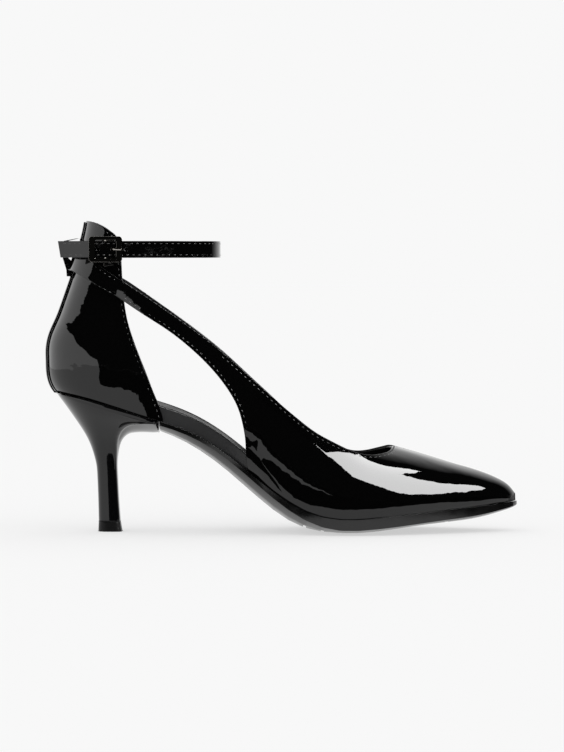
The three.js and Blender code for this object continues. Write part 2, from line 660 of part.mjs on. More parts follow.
function outsole() {
  const top = [];
  const bottom = [];
  soleStations().forEach(({ x, groove }) => {
    const station = xToAlong(x);
    const angle = Math.acos(1 - 2 * station);
    const lateral = outlinePoint(angle, LATERAL, SOLE_MARGIN);
    const medial = outlinePoint(angle, MEDIAL, SOLE_MARGIN);
    const edge = last.read('edge', station) * SOLE_THICKNESS;
    const belly = last.read('belly', station) * SOLE_THICKNESS;
    const spots = SOLE_COLUMNS.map((share) => lateral.clone().lerp(medial, share));
    const height = (spot) => featherHeight(xToAlong(Math.min(spot.x, alongToX(1)))) - CLEARANCE;
    top.push(spots.map((spot) => new THREE.Vector3(spot.x, spot.y, height(spot))));
    bottom.push(SOLE_COLUMNS.map((share) => {
      const spot = lateral.clone().lerp(medial, mix(share, 0.5, SOLE_TUCK));
      const across = 1 - Math.abs(2 * share - 1) ** SOLE_BELLY_POWER;
      const plain = Math.max(height(spot) - mix(edge, belly, across), 0);
      const inside = share > SOLE_COLUMNS[2] && share < 1 - SOLE_COLUMNS[2];
      return new THREE.Vector3(spot.x, spot.y, plain + (inside ? groove * TREAD_DEPTH : 0));
    }));
  });
  return between(top, bottom);
}

// Heel: sections from the tip joint up to the seat, round behind and square at the breast
const HEEL_SIDE_POINTS = 11;
const HEEL_STEPS = 18;
const HEEL_BACK_POWER = 2.4;
const HEEL_FRONT_POWER = 5;
const HEEL_SHARE = 0.993; // the sides end here, where the breast cuts them square
const BREAST_POINTS = 3; // across the breast, between its side edges
const HEEL_FRONT = BREAST - CLEARANCE; // where the heel's seat meets the sole's rear end
const SHAFT_TO_STEP = 0.4; // the sections turn from the shaft's outline to the seat's
const SEAT_FROM_STEP = 0.9;
const heelTable = table(
  `step ${HEEL_COLUMNS}`,
  HEEL_ROWS.map((row, index) => [index / (HEEL_ROWS.length - 1), ...row]),
);

// Half width of the heel, as a share of its greatest, at a share of the way from its back
function heelRound(share, step) {
  const power = share < 0.5 ? HEEL_BACK_POWER : HEEL_FRONT_POWER;
  const tip = (1 - Math.abs(2 * share - 1) ** power) ** (1 / power);
  const depth = counterTable.read('depth', 0) * FOOT_LENGTH;
  const seat = counterRound((share * (BREAST - alongToX(0))) / depth);
  return mix(tip, seat, smooth((step - SHAFT_TO_STEP) / (SEAT_FROM_STEP - SHAFT_TO_STEP)));
}

// The breast between its side edges stands proud, square to its run from tip to seat
function breastLine(step, half, joint) {
  const at = (place) => new THREE.Vector2(
    heelTable.read('front', place) * SEAT_OVERHANG,
    joint + heelTable.read('rise', place) * (HEEL_HEIGHT - joint),
  );
  const reach = 0.02;
  const run = at(Math.min(step + reach, 1)).sub(at(Math.max(step - reach, 0))).normalize();
  const edge = at(step);
  const proud = heelTable.read('proud', step) * BALL_WIDTH;
  const line = [];
  for (let j = 1; j <= BREAST_POINTS; j += 1) {
    const across = (2 * j) / (BREAST_POINTS + 1) - 1;
    const out = proud * (1 - across * across);
    const y = across * half * heelRound(HEEL_SHARE, step);
    line.push(new THREE.Vector3(edge.x + run.y * out, y, edge.y - run.x * out));
  }
  return line;
}

function heelSection(step) {
  const read = (name, unit) => heelTable.read(name, step) * unit;
  const joint = HEEL_TIP_HEIGHT + CLEARANCE;
  const back = { x: read('back', SEAT_OVERHANG), z: joint + read('low', HEEL_HEIGHT - joint) };
  const front = { x: read('front', SEAT_OVERHANG), z: joint + read('rise', HEEL_HEIGHT - joint) };
  const half = read('half', BALL_WIDTH);
  const side = (sign) => {
    const line = [];
    for (let j = 1; j <= HEEL_SIDE_POINTS; j += 1) {
      const share = HEEL_SHARE * (1 - Math.cos((Math.PI * j) / HEEL_SIDE_POINTS)) / 2;
      const y = sign * half * heelRound(share, step);
      line.push(new THREE.Vector3(mix(back.x, front.x, share), y, mix(back.z, front.z, share)));
    }
    return line;
  };
  const nose = new THREE.Vector3(back.x, 0, back.z);
  return [nose, ...side(LATERAL), ...breastLine(step, half, joint), ...side(MEDIAL).reverse()];
}

function heel() {
  const sections = [];
  for (let i = 0; i < HEEL_STEPS; i += 1) sections.push(heelSection(i / HEEL_STEPS));
  const seat = heelSection(1);
  seat.forEach((point) => {
    point.x = Math.min(point.x, HEEL_FRONT);
    point.z = featherHeight(xToAlong(point.x)) - CLEARANCE;
  });
  return throughSections([...sections, seat]);
}

// The tip flares from the joint down to the floor, where its middle is the origin
function heelTip() {
  const [back, front] = ['back', 'front'].map((name) => heelTable.read(name, 0) * SEAT_OVERHANG);
  const middle = (back + front) / 2;
  const atHeight = (height, flare) => heelSection(0).map((point) => {
    const grow = 1 + (flare * HEEL_TIP_MARGIN) / ((front - back) / 2);
    const x = middle * (1 - flare) + (point.x - middle) * grow;
    return new THREE.Vector3(x, point.y * grow, height);
  });
  const waist = { height: 0.6, flare: 0.3 }; // shares of the tip's height and margin
  return throughSections([
    atHeight(0, 1),
    atHeight(HEEL_TIP_HEIGHT * waist.height, waist.flare),
    atHeight(HEEL_TIP_HEIGHT, 0),
  ]);
}

// Ankle strap. Its mid line in plan starts in the fold round the buckle's centre bar, runs
// under the tail to the back loop, round the ankle, and ends in the tail outside the fold.
const HALF_STRAP = STRAP_THICKNESS / 2;
const STRAP_LEVEL = HEEL_HEIGHT + STRAP_RISE * COUNTER_HEIGHT;
const STRAP_FRONT = alongToX(STRAP_REACH);
const STRAP_HALF_WIDTH = counterHalfAt(STRAP_LEVEL) + SLING_OUT + CLEARANCE + HALF_STRAP + STRAP_EASE;
const FOLD_RADIUS = BAR_RADIUS + CLEARANCE + HALF_STRAP;
const TAIL_Y = -STRAP_HALF_WIDTH;
const FOLD_Y = TAIL_Y + STRAP_THICKNESS + CLEARANCE;
const BAR_Y = FOLD_Y + FOLD_RADIUS;
const RING_POWER = 2.8; // of the ring in plan, rounder than a rectangle and fuller than an oval
const FOLD_STEPS = 8;
const INWARD_STEPS = 7; // from the fold in to the ring behind it
const INWARD_REACH = 0.86; // share of the way to the ring's back
const RING_STEPS = 44;
const RING_START = -Math.PI + 0.16;
const RING_END = -2.5 * Math.PI;
const TAIL_STEPS = 12;

function counterHalfAt(height) {
  return counterTable.read('half', counterLevelAt(height, 1, LATERAL)) * BALL_WIDTH;
}

function counterBackAt(height, distance) {
  return outsideAt(height, 0, MEDIAL, distance).x;
}

const STRAP_BACK = counterBackAt(STRAP_LEVEL - STRAP_WIDTH / 2, SLING_OUT + CLEARANCE) - HALF_STRAP;
const RING_MIDDLE = (STRAP_FRONT + STRAP_BACK) / 2;
const RING_HALF = (STRAP_FRONT - STRAP_BACK) / 2;

function ringPoint(angle) {
  const bend = (value) => Math.sign(value) * Math.abs(value) ** (2 / RING_POWER);
  const x = RING_MIDDLE + RING_HALF * bend(Math.cos(angle));
  return new THREE.Vector2(x, STRAP_HALF_WIDTH * bend(Math.sin(angle)));
}

function ringLateralY(x) {
  const share = Math.abs((x - RING_MIDDLE) / RING_HALF);
  return -STRAP_HALF_WIDTH * (1 - share ** RING_POWER) ** (1 / RING_POWER);
}

function strapLine() {
  const line = [new THREE.Vector2(BUCKLE_CENTRE - FOLD_FLAP, BAR_Y + FOLD_RADIUS)];
  for (let i = 0; i <= FOLD_STEPS; i += 1) {
    const angle = Math.PI / 2 - (Math.PI * i) / FOLD_STEPS;
    const fold = new THREE.Vector2(Math.cos(angle), Math.sin(angle)).multiplyScalar(FOLD_RADIUS);
    line.push(fold.add(new THREE.Vector2(BUCKLE_CENTRE, BAR_Y)));
  }
  for (let i = 1; i <= INWARD_STEPS; i += 1) {
    const share = i / INWARD_STEPS;
    const x = mix(BUCKLE_CENTRE, STRAP_BACK, INWARD_REACH * Math.sin(share * (Math.PI / 2)));
    const underTail = ringLateralY(x) + FOLD_Y - ringLateralY(BUCKLE_CENTRE);
    line.push(new THREE.Vector2(x, mix(underTail, ringLateralY(x), smooth(share))));
  }
  for (let i = 0; i <= RING_STEPS; i += 1) {
    line.push(ringPoint(mix(RING_START, RING_END, i / RING_STEPS)));
  }
  for (let i = 1; i <= TAIL_STEPS; i += 1) {
    const x = mix(RING_MIDDLE, BUCKLE_CENTRE - TAIL_LENGTH, i / TAIL_STEPS);
    const past = Math.max(BUCKLE_CENTRE - BUCKLE_LENGTH / 2 - x, 0);
    line.push(new THREE.Vector2(x, TAIL_Y + past * Math.tan(TAIL_TURN)));
  }
  return line;
}

function strapSolid() {
  const line = strapLine();
  const outer = [];
  const inner = [];
  line.forEach((point, i) => {
    const ahead = line[Math.min(i + 1, line.length - 1)];
    const behind = line[Math.max(i - 1, 0)];
    const way = ahead.clone().sub(behind).normalize();
    const normal = new THREE.Vector2(way.y, -way.x);
    const slant = i === line.length - 1 ? TAIL_SLANT / 2 : 0;
    const edge = (sign, distance) => {
      const spot = point.clone().addScaledVector(normal, distance);
      return new THREE.Vector3(spot.x - sign * slant, spot.y, STRAP_LEVEL + (sign * STRAP_WIDTH) / 2);
    };
    outer.push([edge(1, HALF_STRAP), edge(-1, HALF_STRAP)]);
    inner.push([edge(1, -HALF_STRAP), edge(-1, -HALF_STRAP)]);
  });
  return between(outer, inner);
}

// Boolean cuts and joins
const wasm = await Module();
wasm.setup();

function solidOf(geometry) {
  const position = geometry.getAttribute('position');
  const index = geometry.getIndex();
  return new wasm.Manifold(new wasm.Mesh({
    numProp: 3,
    vertProperties: new Float32Array(position.array),
    triVerts: new Uint32Array(index.array),
  }));
}

function geometryOf(solid) {
  const mesh = solid.getMesh();
  const geometry = new THREE.BufferGeometry();
  geometry.setAttribute('position', new THREE.Float32BufferAttribute(mesh.vertProperties, 3));
  geometry.setIndex([...mesh.triVerts]);
  geometry.computeVertexNormals();
  return geometry;
}

// A straight prism with its section in plan through the points, from one height to another
function box(low, high) {
  const corners = (z) => [
    new THREE.Vector3(low.x, low.y, z),
    new THREE.Vector3(high.x, low.y, z),
    new THREE.Vector3(high.x, high.y, z),
    new THREE.Vector3(low.x, high.y, z),
  ];
  return throughSections([corners(low.z), corners(high.z)]);
}

function rod(from, to, radius, sides = 16) {
  const way = to.clone().sub(from).normalize();
  const turn = new THREE.Quaternion().setFromUnitVectors(new THREE.Vector3(0, 0, 1), way);
  const ring = (centre) => {
    const points = [];
    for (let i = 0; i < sides; i += 1) {
      const angle = (2 * Math.PI * i) / sides;
      const spoke = new THREE.Vector3(radius * Math.cos(angle), radius * Math.sin(angle), 0);
      points.push(spoke.applyQuaternion(turn).add(centre));
    }
    return points;
  };
  return throughSections([ring(from), ring(to)]);
}

const PRONG_HOLE = BUCKLE_CENTRE + PRONG_HOLE_OFFSET;
const HOLE_PLACES = [-1, 0, 1].map((step) => PRONG_HOLE + step * HOLE_PITCH);
const PRONG_SLOT = PRONG_RADIUS + CLEARANCE; // half height of the fold's slot
const SLOT_REACH = FOLD_RADIUS + HALF_STRAP + 2 * CLEARANCE;
const TAIL_INSIDE = TAIL_Y + HALF_STRAP;

function ankleStrap() {
  let strap = solidOf(strapSolid());
  HOLE_PLACES.forEach((x) => {
    const from = new THREE.Vector3(x, TAIL_Y - STRAP_THICKNESS, STRAP_LEVEL);
    const to = new THREE.Vector3(x, TAIL_INSIDE + CLEARANCE / 2, STRAP_LEVEL);
    strap = strap.subtract(solidOf(rod(from, to, HOLE_RADIUS, 12)));
  });
  const slot = box(
    new THREE.Vector3(BUCKLE_CENTRE - SLOT_REACH, TAIL_INSIDE + CLEARANCE / 2, STRAP_LEVEL - PRONG_SLOT),
    new THREE.Vector3(BUCKLE_CENTRE + SLOT_REACH, BAR_Y + SLOT_REACH, STRAP_LEVEL + PRONG_SLOT),
  );
  return geometryOf(strap.subtract(solidOf(slot)));
}

// Buckle frame: a flat rounded frame over the strap, its centre bar under the tail
const FRAME_INSIDE = TAIL_Y - HALF_STRAP - CLEARANCE;
const FRAME_OUTSIDE = FRAME_INSIDE - BUCKLE_THICKNESS;
const FRAME_MIDDLE = (FRAME_INSIDE + FRAME_OUTSIDE) / 2;

function roundedRectangle(shape, width, height, radius) {
  const [w, h, r] = [width / 2, height / 2, radius];
  shape.moveTo(-w + r, -h);
  shape.lineTo(w - r, -h);
  shape.absarc(w - r, -h + r, r, -Math.PI / 2, 0);
  shape.lineTo(w, h - r);
  shape.absarc(w - r, h - r, r, 0, Math.PI / 2);
  shape.lineTo(-w + r, h);
  shape.absarc(-w + r, h - r, r, Math.PI / 2, Math.PI);
  shape.lineTo(-w, -h + r);
  shape.absarc(-w + r, -h + r, r, Math.PI, 1.5 * Math.PI);
  return shape;
}

function plate(width, height, radius, depth) {
  const shape = roundedRectangle(new THREE.Shape(), width, height, radius);
  const points = shape.getPoints(5).slice(0, -1);
  const at = (y) => points.map((p) => new THREE.Vector3(BUCKLE_CENTRE + p.x, y, STRAP_LEVEL + p.y));
  return throughSections([at(depth.from), at(depth.to)]);
}

function buckleFrame() {
  const window = {
    width: BUCKLE_LENGTH - 2 * BUCKLE_SIDE_BAR,
    height: BUCKLE_HEIGHT - 2 * BUCKLE_RAIL,
  };
  const depth = { from: FRAME_OUTSIDE, to: FRAME_INSIDE };
  const face = plate(BUCKLE_LENGTH, BUCKLE_HEIGHT, BUCKLE_CORNER, depth);
  const hole = plate(window.width, window.height, BUCKLE_CORNER / 2, {
    from: FRAME_OUTSIDE - CLEARANCE,
    to: FRAME_INSIDE + CLEARANCE,
  });
  let frame = solidOf(face).subtract(solidOf(hole));
  const legFrom = window.height / 2 + CLEARANCE / 2;
  const legTo = BUCKLE_HEIGHT / 2 - CLEARANCE;
  [-1, 1].forEach((sign) => {
    const levels = [STRAP_LEVEL + sign * legFrom, STRAP_LEVEL + sign * legTo];
    const low = new THREE.Vector3(BUCKLE_CENTRE - BAR_RADIUS, FRAME_MIDDLE, Math.min(...levels));
    const high = new THREE.Vector3(BUCKLE_CENTRE + BAR_RADIUS, BAR_Y + BAR_RADIUS, Math.max(...levels));
    frame = frame.add(solidOf(box(low, high)));
  });
  const barEnd = (sign) => {
    const height = STRAP_LEVEL + (sign * (legFrom + legTo)) / 2;
    return new THREE.Vector3(BUCKLE_CENTRE, BAR_Y, height);
  };
  return geometryOf(frame.add(solidOf(rod(barEnd(-1), barEnd(1), BAR_RADIUS))));
}

// Prong: hooked round the centre bar, out through the strap's hole and over the side bar
const PRONG_TIP = BUCKLE_CENTRE + BUCKLE_LENGTH / 2 - PRONG_END_MARGIN;
const PRONG_STEPS = 22;
const PRONG_SIDES = 8;
const HOOK_TURN = { from: 40, to: 250, step: 30 }; // degrees round the centre bar

function prong() {
  const hook = BAR_RADIUS + CLEARANCE / 2 + PRONG_RADIUS;
  const path = [];
  for (let degrees = HOOK_TURN.from; degrees <= HOOK_TURN.to; degrees += HOOK_TURN.step) {
    const angle = THREE.MathUtils.degToRad(degrees);
    const spoke = new THREE.Vector3(Math.cos(angle), Math.sin(angle), 0).multiplyScalar(hook);
    path.push(spoke.add(new THREE.Vector3(BUCKLE_CENTRE, BAR_Y, 0)));
  }
  const over = FRAME_OUTSIDE - CLEARANCE / 2 - PRONG_RADIUS;
  const through = PRONG_HOLE;
  const lean = HOLE_RADIUS / 4;
  path.push(new THREE.Vector3(through - HOLE_RADIUS - lean, FOLD_Y - lean, 0));
  path.push(new THREE.Vector3(through - lean, TAIL_INSIDE + lean, 0));
  path.push(new THREE.Vector3(through, TAIL_Y, 0));
  path.push(new THREE.Vector3(through + lean, FRAME_INSIDE + lean, 0));
  path.push(new THREE.Vector3(through + HOLE_RADIUS, mix(FRAME_OUTSIDE, over, 0.6), 0));
  path.push(new THREE.Vector3(through + 2 * HOLE_RADIUS, over, 0));
  path.push(new THREE.Vector3(PRONG_TIP, over, 0));
  const curve = new THREE.CatmullRomCurve3(path, false, 'centripetal');
  const sections = [];
  for (let i = 0; i <= PRONG_STEPS; i += 1) {
    const point = curve.getPointAt(i / PRONG_STEPS);
    const way = curve.getTangentAt(i / PRONG_STEPS);
    const across = new THREE.Vector3(way.y, -way.x, 0).normalize();
    const ring = [];
    for (let j = 0; j < PRONG_SIDES; j += 1) {
      const angle = (2 * Math.PI * j) / PRONG_SIDES;
      const spot = point.clone().addScaledVector(across, PRONG_RADIUS * Math.cos(angle));
      spot.z = STRAP_LEVEL + PRONG_RADIUS * Math.sin(angle);
      ring.push(spot);
    }
    sections.push(ring);
  }
  return throughSections(sections);
}

// Back loop: a folded tab, sewn to the back stay below and above, that holds sling and ankle
// strap. inner and outer give its two faces from the lower seam up.
const SLING_LOW = HEEL_HEIGHT + turnTable.read('low', 0) * COUNTER_HEIGHT;
const LOOP_LOW = SLING_LOW - LOOP_BELOW;
const LOOP_HIGH = STRAP_LEVEL + STRAP_WIDTH / 2 + LOOP_ABOVE;
const LOOP_STEPS = 6;

function backLoop() {
  const onStay = STAY_THICKNESS + 2 * CLEARANCE;
  const onSling = SLING_OUT + CLEARANCE;
  const strapLow = STRAP_LEVEL - STRAP_WIDTH / 2 - CLEARANCE;
  const strapHigh = STRAP_LEVEL + STRAP_WIDTH / 2 + CLEARANCE;
  const onStrap = STRAP_BACK - HALF_STRAP - CLEARANCE;
  const slingLow = SLING_LOW - CLEARANCE;
  const inner = [
    [LOOP_LOW, counterBackAt(LOOP_LOW, onStay)],
    [slingLow - CLEARANCE, counterBackAt(slingLow, onStay)],
    [slingLow, counterBackAt(slingLow, onSling)],
    [mix(slingLow, strapLow, 0.8), counterBackAt(mix(slingLow, strapLow, 0.8), onSling)],
    [strapLow, onStrap],
    [strapHigh, onStrap],
    [LOOP_HIGH, counterBackAt(LOOP_HIGH, onStay)],
  ];
  const outer = [
    [LOOP_LOW, inner[0][1] - LOOP_THICKNESS],
    [slingLow, inner[2][1] - LOOP_THICKNESS / 2],
    [strapLow, onStrap - LOOP_THICKNESS - LOOP_SLACK],
    [STRAP_LEVEL, onStrap - LOOP_THICKNESS - LOOP_SLACK * 1.2],
    [strapHigh, onStrap - LOOP_THICKNESS - LOOP_SLACK / 2],
    [LOOP_HIGH, inner[6][1] - LOOP_THICKNESS],
  ];
  const heights = [...new Set([...inner, ...outer].map(([height]) => height))];
  for (let i = 1; i < LOOP_STEPS; i += 1) heights.push(mix(LOOP_LOW, LOOP_HIGH, i / LOOP_STEPS));
  heights.sort((one, other) => one - other);
  const readAt = (line, height) => {
    const next = Math.max(line.findIndex(([level]) => level >= height), 1);
    const [low, high] = [line[next - 1], line[next]];
    return mix(low[1], high[1], (height - low[0]) / (high[0] - low[0]));
  };
  const row = (x, height) => [-1, 1].map((side) => {
    return new THREE.Vector3(x, (side * LOOP_WIDTH) / 2, height);
  });
  return between(
    heights.map((height) => row(readAt(outer, height), height)),
    heights.map((height) => row(readAt(inner, height), height)),
  );
}

const patent = new THREE.MeshStandardMaterial({ color: 0x0a0a0b, roughness: 0.08, metalness: 0 });
const sock = new THREE.MeshStandardMaterial({ color: 0x121212, roughness: 0.6, metalness: 0 });
const soleRubber = new THREE.MeshStandardMaterial({ color: 0x161616, roughness: 0.45, metalness: 0 });
const heelPlastic = new THREE.MeshStandardMaterial({ color: 0x0b0b0c, roughness: 0.15, metalness: 0 });
const darkMetal = new THREE.MeshStandardMaterial({ color: 0x2a2926, roughness: 0.2, metalness: 1 });

const shoe = new THREE.Group();
[
  ['outsole', outsole(), soleRubber],
  ['insole', insole(), sock],
  ['heel', heel(), heelPlastic],
  ['heel_tip', heelTip(), soleRubber],
  ['vamp_and_sling', vampAndSling(), patent],
  ['counter', counter(), patent],
  ['back_stay', backStay(), patent],
  ['back_loop', backLoop(), patent],
  ['ankle_strap', ankleStrap(), patent],
  ['buckle_frame', buckleFrame(), darkMetal],
  ['buckle_prong', prong(), darkMetal],
].forEach(([name, geometry, material]) => {
  const mesh = new THREE.Mesh(geometry, material);
  mesh.name = name;
  shoe.add(mesh);
});

export default shoe;
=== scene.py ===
"""Ankle strap pump, right shoe: finishes, stitching, sock, tread and studio.

Lengths in the panel are in metres. The shoe stands on z = 0 with its toe along +X.
"""

import math

import bmesh
import bpy
from mathutils import Matrix, Vector
from mathutils.bvhtree import BVHTree


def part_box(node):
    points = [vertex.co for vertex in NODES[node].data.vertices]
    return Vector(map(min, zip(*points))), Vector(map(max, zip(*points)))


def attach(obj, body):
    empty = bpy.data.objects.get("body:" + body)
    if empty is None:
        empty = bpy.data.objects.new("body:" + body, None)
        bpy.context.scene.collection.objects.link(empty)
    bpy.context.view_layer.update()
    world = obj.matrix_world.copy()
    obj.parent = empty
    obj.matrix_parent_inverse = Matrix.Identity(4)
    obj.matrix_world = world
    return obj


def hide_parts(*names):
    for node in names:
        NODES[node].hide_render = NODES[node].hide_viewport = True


bl_info = {
    "name": "Ankle Strap Pump",
    "version": (1, 0, 0),
    "blender": (4, 5, 0),
    "location": "View3D > Sidebar > Pump",
    "description": "Patent finish, stitching, sock, tread and studio for an ankle strap pump",
    "category": "Object",
}

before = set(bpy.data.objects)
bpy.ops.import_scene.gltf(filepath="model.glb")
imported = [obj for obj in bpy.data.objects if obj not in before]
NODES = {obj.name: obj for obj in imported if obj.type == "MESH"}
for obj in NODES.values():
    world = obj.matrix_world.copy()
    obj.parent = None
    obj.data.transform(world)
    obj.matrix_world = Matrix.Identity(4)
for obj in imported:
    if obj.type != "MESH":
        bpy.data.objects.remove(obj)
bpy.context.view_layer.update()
MM = 0.001
BODY = "root"


# Helpers for selection and meshes


def deselect_all():
    if bpy.context.mode != "OBJECT":
        bpy.ops.object.mode_set(mode="OBJECT")
    bpy.ops.object.select_all(action="DESELECT")


def make_active(obj):
    deselect_all()
    obj.select_set(True)
    bpy.context.view_layer.objects.active = obj


def copy_of_node(node, name):
    """A merged, quad copy of a CAD node, ready for shaping."""
    source = NODES[node]
    copy = bpy.data.objects.new(name, source.data.copy())
    bpy.context.scene.collection.objects.link(copy)
    copy.data.materials.clear()
    make_active(copy)
    bpy.ops.object.mode_set(mode="EDIT")
    bpy.ops.mesh.select_all(action="SELECT")
    bpy.ops.mesh.remove_doubles(threshold=0.02 * MM)
    bpy.ops.mesh.customdata_custom_splitnormals_clear()
    bpy.ops.mesh.mark_sharp(clear=True)
    bpy.ops.mesh.tris_convert_to_quads(
        face_threshold=math.radians(40), shape_threshold=math.radians(60)
    )
    bpy.ops.object.mode_set(mode="OBJECT")
    return copy


def add_modifier(obj, kind, **settings):
    modifier = obj.modifiers.new(kind.title(), kind)
    for key, value in settings.items():
        setattr(modifier, key, value)
    return modifier


def apply_modifiers(obj):
    make_active(obj)
    for modifier in list(obj.modifiers):
        bpy.ops.object.modifier_apply(modifier=modifier.name)


def round_and_smooth(obj, edge_radius, levels, sharp=45.0):
    """Rounds the sharp edges, then subdivides the faces between them."""
    add_modifier(
        obj,
        "BEVEL",
        width=edge_radius,
        segments=2,
        limit_method="ANGLE",
        angle_limit=math.radians(sharp),
        harden_normals=False,
        miter_outer="MITER_ARC",
    )
    apply_modifiers(obj)
    subdivide_through_points(obj, levels)
    make_active(obj)
    bpy.ops.object.shade_smooth()


def round_crisply(obj, edge_radius, segments, sharp, smooth, **settings):
    """Rounds the sharp edges and leaves the faces between them flat."""
    add_modifier(
        obj,
        "BEVEL",
        width=edge_radius,
        segments=segments,
        limit_method="ANGLE",
        angle_limit=math.radians(sharp),
        harden_normals=True,
        **settings,
    )
    make_active(obj)
    bpy.ops.object.shade_smooth_by_angle(angle=math.radians(smooth))
    apply_modifiers(obj)


def subdivide_through_points(obj, levels):
    """Subdivides, with the cage let out so that the smooth surface keeps the cage's own size."""
    wanted = [vert.co.copy() for vert in obj.data.vertices]
    add_modifier(obj, "SUBSURF", levels=levels, render_levels=levels)
    for _ in range(3):
        bpy.context.view_layer.update()
        smooth = obj.evaluated_get(bpy.context.evaluated_depsgraph_get())
        places = [smooth.data.vertices[i].co.copy() for i in range(len(wanted))]
        for vert, place, target in zip(obj.data.vertices, places, wanted):
            vert.co += target - place
        obj.data.update()
    apply_modifiers(obj)


def finish_piece(obj, slot, *replaced):
    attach(obj, BODY)
    if replaced:
        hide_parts(*replaced)
    return obj


# Colours and nodes


def linear(hex_colour):
    """sRGB hex to the linear RGBA that shader sockets take."""
    channels = []
    for start in (1, 3, 5):
        value = int(hex_colour[start : start + 2], 16) / 255
        if value <= 0.04045:
            channels.append(value / 12.92)
        else:
            channels.append(((value + 0.055) / 1.055) ** 2.4)
    return (*channels, 1.0)


def add_node(tree, kind, links=(), **settings):
    """Adds a node, sets its properties or input sockets, and links its inputs."""
    node = tree.nodes.new(kind)
    for key, value in settings.items():
        if hasattr(node, key):
            setattr(node, key, value)
        else:
            node.inputs[key.replace("_", " ")].default_value = value
    for socket, source in links:
        tree.links.new(source, node.inputs[socket])
    return node


def new_material(name):
    material = bpy.data.materials.new(name)
    material.use_nodes = True
    tree = material.node_tree
    tree.nodes.clear()
    shader = add_node(tree, "ShaderNodeBsdfPrincipled")
    output = add_node(tree, "ShaderNodeOutputMaterial")
    tree.links.new(shader.outputs["BSDF"], output.inputs["Surface"])
    place = add_node(tree, "ShaderNodeTexCoord").outputs["Object"]
    return material, tree, shader, place


def noise(tree, place, size, detail=2.0, roughness=0.5):
    """Noise with features of the given real size in metres."""
    return add_node(
        tree,
        "ShaderNodeTexNoise",
        [("Vector", place)],
        Scale=1 / size,
        Detail=detail,
        Roughness=roughness,
    ).outputs["Fac"]


def bump(tree, height, distance, strength=1.0, normal=None):
    links = [("Height", height)]
    if normal:
        links.append(("Normal", normal))
    node = add_node(
        tree, "ShaderNodeBump", links, Distance=distance, Strength=strength
    )
    return node.outputs["Normal"]


def remap(tree, value, low, high, to_low, to_high):
    return add_node(
        tree,
        "ShaderNodeMapRange",
        [("Value", value)],
        From_Min=low,
        From_Max=high,
        To_Min=to_low,
        To_Max=to_high,
    ).outputs["Result"]


def patent_leather(props):
    """Patent leather: dyed leather under a poured polyurethane film, with a wet mirror gloss."""
    material, tree, shader, place = new_material("patent_leather")
    shader.inputs["Base Color"].default_value = linear(props.patent_colour)
    shader.inputs["Roughness"].default_value = 0.4
    shader.inputs["Specular IOR Level"].default_value = 0.0
    shader.inputs["Coat Weight"].default_value = 1.0
    shader.inputs["Coat Roughness"].default_value = 0.012
    shader.inputs["Coat IOR"].default_value = 1.5
    # The film follows the lasted leather in waves about 7 mm apart
    waves = bump(tree, noise(tree, place, 7 * MM, 1.0), 0.09 * MM)
    # Orange peel of the film, drawn at 2.2 mm so that it shows
    peel = bump(tree, noise(tree, place, 2.2 * MM, 2.0), 0.01 * MM, normal=waves)
    tree.links.new(peel, shader.inputs["Coat Normal"])
    # Grain of the leather under the film
    grain = bump(tree, noise(tree, place, 0.5 * MM, 3.0), 0.01 * MM, normal=waves)
    tree.links.new(grain, shader.inputs["Normal"])
    return material


def wrapped_leather(props):
    """Insole cover: finished leather skived and pasted round the board, with a satin gloss."""
    material, tree, shader, place = new_material("wrapped_leather")
    shader.inputs["Base Color"].default_value = linear(props.wrap_colour)
    shader.inputs["Roughness"].default_value = 0.5
    shader.inputs["Specular IOR Level"].default_value = 0.2
    shader.inputs["Coat Weight"].default_value = 0.6
    shader.inputs["Coat Roughness"].default_value = 0.22
    grain = bump(tree, noise(tree, place, 0.6 * MM, 3.0), 0.012 * MM)
    tree.links.new(grain, shader.inputs["Normal"])
    return material


def lining_leather(props):
    """Smooth black lining: coated split leather, with a dull satin face and a fine pore grain."""
    material, tree, shader, place = new_material("lining_leather")
    shader.inputs["Base Color"].default_value = linear(props.lining_colour)
    pores = add_node(
        tree,
        "ShaderNodeTexVoronoi",
        [("Vector", place)],
        Scale=1 / (0.7 * MM),
        feature="F1",
    ).outputs["Distance"]
    tree.links.new(bump(tree, pores, 0.03 * MM), shader.inputs["Normal"])
    shader.inputs["Specular IOR Level"].default_value = 0.2
    rough = remap(tree, noise(tree, place, 9 * MM), 0.3, 0.7, 0.42, 0.58)
    tree.links.new(rough, shader.inputs["Roughness"])
    return material


def sewing_thread(props):
    """Bonded polyester thread: fine plied filament with a soft sheen. Its mid-grey colour is lighter
    than the black thread, a painted highlight for the glints that the round thread catches.
    """
    material, tree, shader, place = new_material("sewing_thread")
    # Mid-grey base colour: a painted highlight that stands in for the black thread's glints
    shader.inputs["Base Color"].default_value = linear(props.thread_colour_with_painted_glint)
    shader.inputs["Roughness"].default_value = 0.35
    ply = add_node(
        tree,
        "ShaderNodeTexWave",
        [("Vector", place)],
        Scale=1 / (0.4 * MM),
        Distortion=1.0,
        bands_direction="DIAGONAL",
    ).outputs["Fac"]
    tree.links.new(bump(tree, ply, 0.03 * MM), shader.inputs["Normal"])
    return material


